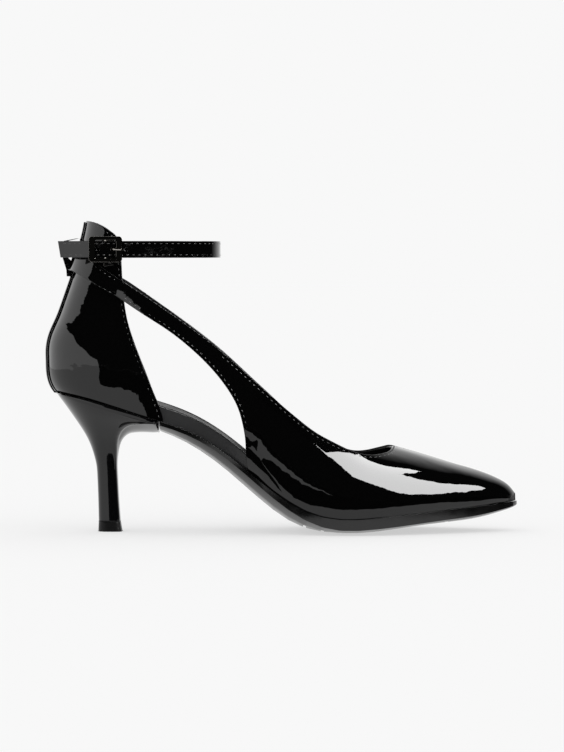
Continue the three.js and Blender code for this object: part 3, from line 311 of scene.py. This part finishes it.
def sole_rubber(props):
    """Moulded thermoplastic rubber: dense black with a satin skin and a faint spark-eroded texture."""
    material, tree, shader, place = new_material("sole_rubber")
    shader.inputs["Base Color"].default_value = linear(props.sole_colour)
    shader.inputs["IOR"].default_value = 1.54
    rough = remap(tree, noise(tree, place, 6 * MM, 3.0), 0.3, 0.7, 0.12, 0.2)
    tree.links.new(rough, shader.inputs["Roughness"])
    texture = bump(tree, noise(tree, place, 0.45 * MM, 3.0), 0.012 * MM)
    # Fine ribs across the tread, 1.65 mm apart, on the lowest millimetre alone
    ribs = add_node(
        tree,
        "ShaderNodeTexWave",
        [("Vector", place)],
        Scale=0.314 / (1.65 * MM),
        bands_direction="X",
    ).outputs["Fac"]
    height = add_node(tree, "ShaderNodeSeparateXYZ", [("Vector", place)]).outputs["Z"]
    low = remap(tree, height, 0.6 * MM, 1.2 * MM, 1.0, 0.0)
    tread = add_node(tree, "ShaderNodeMath", [(0, ribs), (1, low)], operation="MULTIPLY")
    pressed = bump(tree, tread.outputs["Value"], 0.3 * MM, normal=texture)
    tree.links.new(pressed, shader.inputs["Normal"])
    return material


def lacquered_heel(props):
    """Moulded ABS heel with black lacquer: smooth gloss, a little wavier than patent leather."""
    material, tree, shader, place = new_material("lacquered_heel")
    shader.inputs["Base Color"].default_value = linear(props.heel_colour)
    shader.inputs["Roughness"].default_value = 0.3
    shader.inputs["Specular IOR Level"].default_value = 0.0
    shader.inputs["Coat Weight"].default_value = 1.0
    shader.inputs["Coat Roughness"].default_value = 0.05
    lacquer = bump(tree, noise(tree, place, 4 * MM, 2.0), 0.012 * MM)
    tree.links.new(lacquer, shader.inputs["Coat Normal"])
    return material


def tip_rubber(props):
    """Heel tip: hard polyurethane, cut and buffed, so it is duller than the heel."""
    material, tree, shader, place = new_material("tip_rubber")
    shader.inputs["Base Color"].default_value = linear(props.tip_colour)
    shader.inputs["Roughness"].default_value = 0.4
    shader.inputs["Specular IOR Level"].default_value = 0.15
    buffed = bump(tree, noise(tree, place, 0.35 * MM, 3.0), 0.02 * MM)
    tree.links.new(buffed, shader.inputs["Normal"])
    return material


def polished_nickel(props):
    """Nickel plating on die-cast zinc: a polished grey metal. Its outer edges get a painted highlight
    in a second, paler material.
    """
    material, tree, shader, place = new_material("polished_nickel")
    shader.inputs["Base Color"].default_value = linear(props.buckle_colour)
    shader.inputs["Metallic"].default_value = 1.0
    rough = remap(tree, noise(tree, place, 3 * MM, 2.0), 0.3, 0.7, 0.01, 0.02)
    tree.links.new(rough, shader.inputs["Roughness"])
    return material


def painted_highlight_nickel(props):
    """The same plating made satin and partly non-metallic along the buckle's outer edge: a painted
    highlight, so that the edge shows as a bright line.
    """
    material, tree, shader, place = new_material("painted_highlight_nickel")
    shader.inputs["Base Color"].default_value = linear(props.buckle_colour)
    shader.inputs["Metallic"].default_value = 0.35
    rough = remap(tree, noise(tree, place, 0.8 * MM, 3.0), 0.3, 0.7, 0.3, 0.42)
    tree.links.new(rough, shader.inputs["Roughness"])
    return material


def material_of(name):
    """The finish by name, made on first use."""
    found = bpy.data.materials.get(name)
    if found:
        return found
    makers = {
        "patent_leather": patent_leather,
        "wrapped_leather": wrapped_leather,
        "lining_leather": lining_leather,
        "sewing_thread": sewing_thread,
        "sole_rubber": sole_rubber,
        "lacquered_heel": lacquered_heel,
        "tip_rubber": tip_rubber,
        "polished_nickel": polished_nickel,
        "painted_highlight_nickel": painted_highlight_nickel,
    }
    return makers[name](bpy.context.scene.pump_finish)


# Edge lines on a piece, for stitches. Where the toe and the forepart start, from the origin,
# and the height under which the upper turns in onto the sole
TOE_START = 190 * MM
FOREPART_START = 68 * MM
FEATHER_TOP = 36 * MM


def away_from_foot(point, normal):
    """True where a wall faces away from the foot."""
    core = Vector((max(point.x, 0.02), 0.0, point.z - 0.008))
    return normal.dot(point - core) > 0


def walk_edges(vert, left):
    """The edges that follow on from a vertex without a fork, each taken out of those left."""
    walked = []
    while True:
        following = [edge for edge in vert.link_edges if edge in left]
        if len(following) != 1:
            return walked
        del left[following[0]]
        walked.append(following[0])
        vert = following[0].other_vert(vert)


def edge_chains(obj, outside):
    """Chains of sharp edges that bound the outer faces, in the order of the mesh's edges.

    Each item of a chain is (point, inward direction).
    """
    mesh = bmesh.new()
    mesh.from_mesh(obj.data)
    mesh.normal_update()
    marked = {}
    for edge in mesh.edges:
        if len(edge.link_faces) != 2:
            continue
        if edge.calc_face_angle(0.0) < math.radians(50):
            continue
        faces = [f for f in edge.link_faces if outside(f.calc_center_median(), f.normal)]
        if not faces:
            continue
        main = max(faces, key=lambda f: f.calc_area())
        middle = (edge.verts[0].co + edge.verts[1].co) / 2
        along = (edge.verts[1].co - edge.verts[0].co).normalized()
        inward = main.normal.cross(along)
        if inward.dot(main.calc_center_median() - middle) < 0:
            inward = -inward
        marked[edge] = (middle.copy(), inward.normalized())
    chains = []
    left = dict.fromkeys(marked)
    while left:
        start = next(iter(left))
        del left[start]
        after = walk_edges(start.verts[1], left)
        before = walk_edges(start.verts[0], left)
        chains.append([marked[edge] for edge in (*reversed(before), start, *after)])
    mesh.free()
    return chains


def surface_tree(obj):
    mesh = bmesh.new()
    mesh.from_mesh(obj.data)
    tree = BVHTree.FromBMesh(mesh)
    mesh.free()
    return tree


def inset_line(chain, tree, margin):
    """The chain moved in from its edge and laid on the surface: (point, normal) pairs."""
    line = []
    for point, inward in chain:
        spot, normal, _, _ = tree.find_nearest(point + inward * margin)
        if spot is not None and not (spot.x > TOE_START and spot.z < FEATHER_TOP):
            line.append((spot, normal))
    return line


def split_at_corners(chain, angle=50.0):
    """Cuts a chain where its inward direction turns sharply."""
    parts = [[chain[0]]]
    for before, item in zip(chain, chain[1:]):
        if before[1].angle(item[1], 0.0) > math.radians(angle):
            parts.append([])
        parts[-1].append(item)
    return [part for part in parts if len(part) > 1]


def stitch_template(props):
    """One stitch along X, 1 unit = its real size: a rounded bar, thinner where it dives."""
    deselect_all()
    bpy.ops.mesh.primitive_uv_sphere_add(segments=8, ring_count=6, radius=1.0)
    stitch = bpy.context.active_object
    stitch.name = "stitch_template"
    stitch.scale = (
        props.stitch_length / 2,
        props.thread_width / 2,
        props.thread_width / 2 * 0.8,
    )
    bpy.ops.object.transform_apply(location=False, rotation=False, scale=True)
    for vert in stitch.data.vertices:
        dive = abs(vert.co.x) / (props.stitch_length / 2)
        vert.co.z -= props.thread_width * (0.1 + 0.35 * dive**3)
    return stitch


def sew(name, lines, props, slot):
    """Lays a row of stitches along each line and joins them into one piece."""
    template = stitch_template(props)
    verts = [v.co.copy() for v in template.data.vertices]
    # Blender's own order of the sphere's faces changes from run to run
    faces = sorted(tuple(p.vertices) for p in template.data.polygons)
    bpy.data.objects.remove(template)
    all_verts = []
    all_faces = []
    for line in lines:
        lengths = [0.0]
        for (a, _), (b, _) in zip(line, line[1:]):
            lengths.append(lengths[-1] + (b - a).length)
        total = lengths[-1]
        if total < 2 * props.stitch_pitch:
            continue
        count = max(1, round(total / props.stitch_pitch))
        index = 0
        for i in range(count):
            at = (i + 0.5) * total / count
            while index < len(lengths) - 2 and lengths[index + 1] < at:
                index += 1
            share = (at - lengths[index]) / max(lengths[index + 1] - lengths[index], 1e-9)
            spot = line[index][0].lerp(line[index + 1][0], share)
            normal = line[index][1].lerp(line[index + 1][1], share).normalized()
            along = (line[index + 1][0] - line[index][0]).normalized()
            side = normal.cross(along).normalized()
            along = side.cross(normal)
            turn = Matrix((along, side, normal)).transposed()
            base = len(all_verts)
            all_verts.extend(spot + turn @ v for v in verts)
            all_faces.extend(tuple(base + k for k in face) for face in faces)
    mesh = bpy.data.meshes.new(name)
    mesh.from_pydata([tuple(v) for v in all_verts], [], all_faces)
    mesh.update()
    piece = bpy.data.objects.new(name, mesh)
    bpy.context.scene.collection.objects.link(piece)
    piece.data.materials.append(material_of("sewing_thread"))
    make_active(piece)
    bpy.ops.object.shade_smooth()
    return finish_piece(piece, slot)


def line_inside(obj, inside_material, outside):
    """Gives the faces that look at the foot the lining."""
    obj.data.materials.append(material_of("patent_leather"))
    obj.data.materials.append(material_of(inside_material))
    for face in obj.data.polygons:
        if not outside(face.center, face.normal):
            face.material_index = 1


# Settings


class PumpFinish(bpy.types.PropertyGroup):
    patent_colour: bpy.props.StringProperty(
        name="Patent colour", description="sRGB hex of the patent leather", default="#040404"
    )
    lining_colour: bpy.props.StringProperty(
        name="Lining colour", description="sRGB hex of lining and sock", default="#151516"
    )
    wrap_colour: bpy.props.StringProperty(
        name="Insole cover colour", description="sRGB hex of the insole's cover", default="#2a2a2b"
    )
    # Mid-grey, lighter than the black thread: a painted highlight for the stitches' glints
    thread_colour_with_painted_glint: bpy.props.StringProperty(
        name="Thread colour", description="sRGB hex of the stitching", default="#4c4c4c"
    )
    sole_colour: bpy.props.StringProperty(
        name="Sole colour", description="sRGB hex of the outsole", default="#0a0a0a"
    )
    heel_colour: bpy.props.StringProperty(
        name="Heel colour", description="sRGB hex of the heel lacquer", default="#080809"
    )
    tip_colour: bpy.props.StringProperty(
        name="Heel tip colour", description="sRGB hex of the heel tip", default="#0b0b0b"
    )
    buckle_colour: bpy.props.StringProperty(
        name="Buckle colour", description="sRGB hex of the buckle's plating", default="#b3b0aa"
    )
    stitch_pitch: bpy.props.FloatProperty(
        name="Stitch pitch",
        description="Distance from one stitch to the next",
        default=2.9 * MM,
        min=1 * MM,
        unit="LENGTH",
    )
    stitch_length: bpy.props.FloatProperty(
        name="Stitch length",
        description="Visible length of one stitch",
        default=1.75 * MM,
        min=0.5 * MM,
        unit="LENGTH",
    )
    thread_width: bpy.props.FloatProperty(
        name="Thread width",
        description="Width of the sewing thread",
        default=0.42 * MM,
        min=0.1 * MM,
        unit="LENGTH",
    )
    stitch_margin: bpy.props.FloatProperty(
        name="Stitch margin",
        description="From a cut edge in to its stitch line",
        default=1.5 * MM,
        min=0.5 * MM,
        unit="LENGTH",
    )


FLOOR_SIZE = 60.0
CARD_HEIGHT = 2 * MM
# The glow behind rises between these shares of the way to +Y, from the dark room's level
GLOW_REACH = (0.32, 0.75)
DARK_ROOM = 0.006
# The camera's focal length in mm, and the point that it looks at
CAMERA_LENS = 172.34
CAMERA_AIM = Vector((0.08595, 0.0, 0.0776))
# Directions from the vamp to the corners of the front softbox, which flags cut to a slanted
# shape, and its middle
SOFTBOX_FROM = Vector((0.14, -0.025, 0.03))
SOFTBOX_DISTANCE = 1.5
SOFTBOX_MIDDLE = (0.50, -0.45, 0.74)
FRONT_SOFTBOX = (
    (0.26, -0.76, 0.60),
    (0.46, -0.69, 0.56),
    (0.60, -0.70, 0.38),
    (0.745, -0.64, 0.19),
    (0.82, -0.53, 0.20),
    (0.85, -0.36, 0.38),
    (0.84, -0.24, 0.49),
    (0.76, -0.21, 0.62),
    (0.64, -0.22, 0.74),
    (0.50, -0.11, 0.86),
    (0.53, 0.15, 0.83),
    (0.42, 0.10, 0.90),
    (0.30, 0.00, 0.95),
    (0.20, -0.20, 0.96),
    (0.25, -0.50, 0.83),
    (0.26, -0.70, 0.66),
)
# Corners of the left softbox, a long low wall whose top slopes down to the front, in metres
LEFT_SOFTBOX = (
    (-1.2, -3.6, 0.0),
    (-1.2, 2.0, 0.0),
    (-1.2, 2.0, 0.62),
    (-1.2, -0.2, 0.62),
    (-1.2, -0.58, 0.56),
    (-1.2, -1.14, 0.41),
    (-1.2, -2.2, 0.24),
    (-1.2, -3.6, 0.18),
)
# Outline of the dark cards on the floor, on the camera's side and at the toe, in metres
DARK_CARDS = (
    (
        (0.043, -0.061),
        (0.053, -0.053),
        (0.07, -0.051),
        (0.083, -0.057),
        (0.098, -0.072),
        (0.131, -0.074),
        (0.175, -0.061),
        (0.205, -0.049),
        (0.221, -0.028),
        (0.297, 0.03),
        (0.6, 0.2),
        (25.0, 0.2),
        (25.0, -25.0),
        (-8.0, -25.0),
        (-0.119, -0.383),
        (-0.013, -0.417),
        (0.04, -0.43),
        (0.03, -0.2),
        (0.02, -0.11),
        (0.027, -0.075),
    ),
)
# Corners of the dark cards in the air, in metres: upright beside the heel, and close over the sling
AIR_CARDS = (
    (
        (-0.003, -0.045, 0.0),
        (0.06, -0.045, 0.0),
        (0.06, -0.045, 0.028),
        (-0.003, -0.045, 0.028),
    ),
    (
        (0.1113, -0.0411, 0.0483),
        (0.1194, -0.0355, 0.0507),
        (0.1256, -0.0302, 0.0506),
        (0.0956, -0.03, 0.0766),
        (0.0763, -0.0411, 0.0733),
    ),
)


class PumpStudio(bpy.types.PropertyGroup):
    floor_colour: bpy.props.StringProperty(
        name="Floor colour", description="sRGB hex of floor and background", default="#f8f8f8"
    )
    surround: bpy.props.FloatProperty(
        name="Surround", description="Brightness of the light all round", default=1.0, min=0.0
    )
    underlight: bpy.props.FloatProperty(
        name="Underlight",
        description="Share of the floor's brightness that comes from below it",
        default=0.6,
        min=0.0,
        max=1.0,
    )
    glow: bpy.props.FloatProperty(
        name="Glow", description="Brightness of the surround behind, in the gloss", default=1.1, min=0.0
    )
    softbox: bpy.props.FloatProperty(
        name="Softbox", description="Brightness of the front softbox", default=15.0, min=0.0
    )
    left_softbox: bpy.props.FloatProperty(
        name="Left softbox", description="Brightness of the left softbox", default=1.4, min=0.0
    )
    camera_distance: bpy.props.FloatProperty(
        name="Camera distance",
        description="From the shoe's middle plane",
        default=1.8,
        min=0.2,
        unit="LENGTH",
    )
    camera_height: bpy.props.FloatProperty(
        name="Camera height", description="Over the floor", default=0.13, min=0.0, unit="LENGTH"
    )


# Pieces


class PUMP_OT_vamp(bpy.types.Operator):
    """Smooths the vamp and its sling straps, lines them and stitches both edges"""

    bl_idname = "pump.vamp"
    bl_label = "Vamp and sling"

    def execute(self, context):
        props = context.scene.pump_finish
        vamp = copy_of_node("vamp_and_sling", "vamp_patent")
        tree = surface_tree(vamp)
        chains = edge_chains(vamp, away_from_foot)
        lines = []
        for chain in chains:
            kept = [item for item in chain if not is_feather_edge(item)]
            for part in split_runs(kept):
                lines.append(inset_line(part, tree, props.stitch_margin))
        round_and_smooth(vamp, 0.35 * MM, 2)
        line_inside(vamp, "lining_leather", away_from_foot)
        finish_piece(vamp, "patent", "vamp_and_sling")
        sew("vamp_stitching", lines, props, "patent")
        return {"FINISHED"}


def is_feather_edge(item):
    """True for the edge items where the upper turns under onto the sole."""
    point, inward = item
    return point.x > FOREPART_START and (inward.z > 0.5 or point.z < FEATHER_TOP)


def split_runs(items, gap=12 * MM):
    """Splits kept items where neighbours are far apart."""
    parts = [[]]
    for item in items:
        if parts[-1] and (item[0] - parts[-1][-1][0]).length > gap:
            parts.append([])
        parts[-1].append(item)
    return [part for part in parts if len(part) > 2]


class PUMP_OT_counter(bpy.types.Operator):
    """Smooths the counter, back stay and back loop, and stitches the counter's edges"""

    bl_idname = "pump.counter"
    bl_label = "Counter and back"

    def execute(self, context):
        props = context.scene.pump_finish
        counter = copy_of_node("counter", "counter_patent")
        tree = surface_tree(counter)
        lines = []
        for chain in edge_chains(counter, away_from_foot):
            for part in split_at_corners(chain):
                mean = sum((item[1] for item in part), Vector()) / len(part)
                if mean.z < 0.5:
                    lines.append(inset_line(part, tree, props.stitch_margin))
        round_and_smooth(counter, 0.4 * MM, 2)
        line_inside(counter, "lining_leather", away_from_foot)
        finish_piece(counter, "patent", "counter")
        sew("counter_stitching", lines, props, "patent")
        stay = copy_of_node("back_stay", "back_stay_patent")
        round_and_smooth(stay, 0.25 * MM, 2)
        stay.data.materials.append(material_of("patent_leather"))
        finish_piece(stay, "patent", "back_stay")
        loop = copy_of_node("back_loop", "back_loop_patent")
        close_on_sling(loop)
        make_active(loop)
        bpy.ops.object.shade_smooth_by_angle(angle=math.radians(35))
        loop.data.materials.append(material_of("patent_leather"))
        finish_piece(loop, "patent", "back_loop")
        return {"FINISHED"}


def close_on_sling(loop):
    """Moves the loop's inner face forward onto the sling, which it is sewn to."""
    forward = {}
    for face in loop.data.polygons:
        if face.normal.x > 0.5:
            for index in face.vertices:
                forward[index] = 0.6 * MM
    for index, step in forward.items():
        loop.data.vertices[index].co.x += step


class PUMP_OT_ankle_strap(bpy.types.Operator):
    """Finishes the ankle strap with rounded edges and two rows of stitches"""

    bl_idname = "pump.ankle_strap"
    bl_label = "Ankle strap"

    def execute(self, context):
        props = context.scene.pump_finish
        strap = copy_of_node("ankle_strap", "ankle_strap_patent")
        low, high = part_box("ankle_strap")
        tree = surface_tree(strap)

        def outside(point, normal):
            core = Vector((0.5 * (low.x + high.x), 0.0, point.z))
            return abs(normal.z) < 0.5 and normal.dot(point - core) > 0

        lines = []
        for chain in edge_chains(strap, outside):
            for part in split_at_corners(chain):
                mean = sum((item[1] for item in part), Vector()) / len(part)
                if abs(mean.z) > 0.5 and len(part) > 8:
                    lines.append(inset_line(part, tree, props.stitch_margin * 0.85))
        round_crisply(strap, 0.3 * MM, 3, sharp=50, smooth=40)
        strap.data.materials.append(material_of("patent_leather"))
        finish_piece(strap, "patent", "ankle_strap")
        sew("ankle_strap_stitching", lines, props, "patent")
        return {"FINISHED"}


class PUMP_OT_buckle(bpy.types.Operator):
    """Rounds the buckle's frame and prong and plates them"""

    bl_idname = "pump.buckle"
    bl_label = "Buckle"

    def execute(self, context):
        for node, name, radius in (
            ("buckle_frame", "buckle_frame_plated", 0.4 * MM),
            ("buckle_prong", "buckle_prong_plated", 0.12 * MM),
        ):
            piece = copy_of_node(node, name)
            piece.data.materials.append(material_of("polished_nickel"))
            # The second material is a painted highlight on the bevelled outer edges of frame and prong
            piece.data.materials.append(material_of("painted_highlight_nickel"))
            round_crisply(piece, radius, 4, sharp=50, smooth=50, material=1)
            keep_painted_highlight_outside(piece, node)
            finish_piece(piece, "buckle", node)
        return {"FINISHED"}


def keep_painted_highlight_outside(piece, node):
    """Leaves the painted highlight material on the outer edges alone."""
    low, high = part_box(node)
    rim = 0.7 * MM
    for face in piece.data.polygons:
        at = face.center
        # Left, top and bottom edges keep the painted highlight; all other faces go back to the polished
        # plating
        outer = at.x < low.x + rim or at.z > high.z - rim or at.z < low.z + rim
        if not outer:
            face.material_index = 0


class PUMP_OT_insole(bpy.types.Operator):
    """Rounds the insole's wrapped edge and lays the sock on it"""

    bl_idname = "pump.insole"
    bl_label = "Insole and sock"

    def execute(self, context):
        insole = copy_of_node("insole", "insole_wrapped")
        sock = insole.copy()
        sock.data = insole.data.copy()
        sock.name = "sock"
        context.scene.collection.objects.link(sock)
        round_and_smooth(insole, 1.2 * MM, 2)
        insole.data.materials.append(material_of("wrapped_leather"))
        finish_piece(insole, "sock", "insole")
        make_active(sock)
        bpy.ops.object.mode_set(mode="EDIT")
        mesh = bmesh.from_edit_mesh(sock.data)
        for face in mesh.faces:
            # The sock ends under the vamp, short of the narrow toe
            face.select = face.normal.z < 0.6 or face.calc_center_median().x > 0.175
        bmesh.update_edit_mesh(sock.data)
        bpy.ops.mesh.delete(type="FACE")
        bpy.ops.mesh.select_all(action="SELECT")
        bpy.ops.mesh.inset(thickness=1.0 * MM, use_boundary=True)
        bpy.ops.mesh.select_all(action="INVERT")
        bpy.ops.mesh.delete(type="FACE")
        bpy.ops.object.mode_set(mode="OBJECT")
        add_modifier(sock, "SOLIDIFY", thickness=0.5 * MM, offset=1.0)
        add_modifier(sock, "SUBSURF", levels=2, render_levels=2)
        apply_modifiers(sock)
        bpy.ops.object.shade_smooth()
        sock.data.materials.append(material_of("lining_leather"))
        finish_piece(sock, "sock")
        return {"FINISHED"}


class PUMP_OT_sole(bpy.types.Operator):
    """Rounds the outsole's edges and keeps its wall and waist crisp"""

    bl_idname = "pump.sole"
    bl_label = "Outsole"

    def execute(self, context):
        sole = copy_of_node("outsole", "outsole_moulded")
        round_crisply(sole, 0.25 * MM, 3, sharp=40, smooth=40)
        sole.data.materials.append(material_of("sole_rubber"))
        finish_piece(sole, "sole", "outsole")
        return {"FINISHED"}


class PUMP_OT_heel(bpy.types.Operator):
    """Smooths the heel and its tip and gives them lacquer and rubber"""

    bl_idname = "pump.heel"
    bl_label = "Heel and tip"

    def execute(self, context):
        heel = copy_of_node("heel", "heel_lacquered")
        round_and_smooth(heel, 0.15 * MM, 2, 40.0)
        heel.data.materials.append(material_of("lacquered_heel"))
        finish_piece(heel, "heel", "heel")
        tip = copy_of_node("heel_tip", "heel_tip_rubber")
        round_and_smooth(tip, 0.25 * MM, 1)
        tip.data.materials.append(material_of("tip_rubber"))
        finish_piece(tip, "tip", "heel_tip")
        return {"FINISHED"}


class PUMP_OT_studio(bpy.types.Operator):
    """Sets the floor, the pale surround, the lights and the camera"""

    bl_idname = "pump.studio"
    bl_label = "Studio"

    def execute(self, context):
        studio = context.scene.pump_studio
        build_floor(studio)
        build_world(studio)
        build_panels(studio)
        build_camera(studio)
        return {"FINISHED"}


def build_floor(studio):
    deselect_all()
    bpy.ops.mesh.primitive_plane_add(size=FLOOR_SIZE, location=(0.0, 0.0, 0.0))
    floor = bpy.context.active_object
    floor.name = "floor"
    material, _, shader, _ = new_material("studio_floor")
    # The floor is lit from below too, so that the contact shadows stay faint
    pale = linear(studio.floor_colour)
    reflected = 1 - studio.underlight
    shader.inputs["Base Color"].default_value = (*(c * reflected for c in pale[:3]), 1.0)
    shader.inputs["Emission Color"].default_value = pale
    shader.inputs["Emission Strength"].default_value = studio.underlight
    shader.inputs["Roughness"].default_value = 0.9
    shader.inputs["Specular IOR Level"].default_value = 0.0
    floor.data.materials.append(material)


def build_world(studio):
    world = bpy.data.worlds.new("pale_surround")
    bpy.context.scene.world = world
    world.use_nodes = True
    tree = world.node_tree
    tree.nodes.clear()
    direction = add_node(tree, "ShaderNodeTexCoord").outputs["Generated"]
    axes = add_node(tree, "ShaderNodeSeparateXYZ", [("Vector", direction)])
    # Gloss meets a dark room, apart from a pale glow behind and the panels beside it
    glow = remap(tree, axes.outputs["Y"], *GLOW_REACH, DARK_ROOM, studio.glow)
    rays = add_node(tree, "ShaderNodeLightPath")
    level = add_node(
        tree,
        "ShaderNodeMix",
        [("Factor", rays.outputs["Is Glossy Ray"]), ("B", glow)],
        data_type="FLOAT",
        A=studio.surround,
    )
    light = add_node(tree, "ShaderNodeBackground", [("Strength", level.outputs[0])])
    light.inputs["Color"].default_value = (1.0, 1.0, 1.0, 1.0)
    seen = add_node(tree, "ShaderNodeBackground", Color=linear(studio.floor_colour))
    pick = add_node(
        tree,
        "ShaderNodeMixShader",
        [
            (0, rays.outputs["Is Camera Ray"]),
            (1, light.outputs["Background"]),
            (2, seen.outputs["Background"]),
        ],
    )
    output = add_node(tree, "ShaderNodeOutputWorld")
    tree.links.new(pick.outputs["Shader"], output.inputs["Surface"])
    bpy.context.scene.view_settings.view_transform = "Standard"


def build_panels(studio):
    """Softboxes and dark cards that show in the gloss alone, so that floor and air stay even."""
    corners = [Vector(way).normalized() for way in (*FRONT_SOFTBOX, SOFTBOX_MIDDLE)]
    corners = [SOFTBOX_FROM + way * SOFTBOX_DISTANCE for way in corners]
    count = len(FRONT_SOFTBOX)
    fan = [(i, (i + 1) % count, count) for i in range(count)]
    add_panel("front_softbox", corners, fan, studio.softbox)
    add_panel("left_softbox", LEFT_SOFTBOX, [range(len(LEFT_SOFTBOX))], studio.left_softbox)
    for card in DARK_CARDS:
        corners = [(x, y, CARD_HEIGHT) for x, y in card]
        add_panel("large_dark_card", corners, [range(len(card))], 0.0)
    for name, card in zip(("heel_card", "sling_card"), AIR_CARDS):
        add_panel(name, card, [range(len(card))], 0.0)


def add_panel(name, corners, faces, brightness):
    mesh = bpy.data.meshes.new(name)
    mesh.from_pydata([tuple(corner) for corner in corners], [], [tuple(face) for face in faces])
    panel = bpy.data.objects.new(name, mesh)
    bpy.context.scene.collection.objects.link(panel)
    material = bpy.data.materials.new(name)
    material.use_nodes = True
    tree = material.node_tree
    tree.nodes.clear()
    light = add_node(tree, "ShaderNodeEmission", Strength=brightness)
    output = add_node(tree, "ShaderNodeOutputMaterial")
    tree.links.new(light.outputs["Emission"], output.inputs["Surface"])
    panel.data.materials.append(material)
    for rays in ("camera", "diffuse", "shadow", "transmission"):
        setattr(panel, f"visible_{rays}", False)


def build_camera(studio):
    lens = bpy.data.cameras.new("camera")
    lens.sensor_fit = "AUTO"
    lens.sensor_width = 36.0
    lens.lens = CAMERA_LENS
    lens.clip_end = 100.0
    camera = bpy.data.objects.new("camera", lens)
    bpy.context.scene.collection.objects.link(camera)
    camera.location = (CAMERA_AIM.x, -studio.camera_distance, studio.camera_height)
    aim = CAMERA_AIM - camera.location
    camera.rotation_euler = aim.to_track_quat("-Z", "Y").to_euler()
    bpy.context.scene.camera = camera


class PUMP_PT_panel(bpy.types.Panel):
    """Lists the shoe's pieces and its studio"""

    bl_idname = "PUMP_PT_panel"
    bl_label = "Ankle Strap Pump"
    bl_space_type = "VIEW_3D"
    bl_region_type = "UI"
    bl_category = "Pump"

    def draw(self, context):
        for step in STEPS:
            self.layout.operator(f"pump.{step}")
        for group in (context.scene.pump_finish, context.scene.pump_studio):
            for name in group.bl_rna.properties.keys():
                if name not in ("rna_type", "name"):
                    self.layout.prop(group, name)


STEPS = (
    "vamp",
    "counter",
    "ankle_strap",
    "buckle",
    "insole",
    "sole",
    "heel",
    "studio",
)

CLASSES = (
    PumpFinish,
    PumpStudio,
    PUMP_OT_vamp,
    PUMP_OT_counter,
    PUMP_OT_ankle_strap,
    PUMP_OT_buckle,
    PUMP_OT_insole,
    PUMP_OT_sole,
    PUMP_OT_heel,
    PUMP_OT_studio,
    PUMP_PT_panel,
)


def register():
    for item in CLASSES:
        bpy.utils.register_class(item)
    bpy.types.Scene.pump_finish = bpy.props.PointerProperty(type=PumpFinish)
    bpy.types.Scene.pump_studio = bpy.props.PointerProperty(type=PumpStudio)


def unregister():
    del bpy.types.Scene.pump_studio
    del bpy.types.Scene.pump_finish
    for item in reversed(CLASSES):
        bpy.utils.unregister_class(item)


def main():
    register()
    for step in STEPS:
        getattr(bpy.ops.pump, step)()
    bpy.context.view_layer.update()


if __name__ == "__main__":
    main()
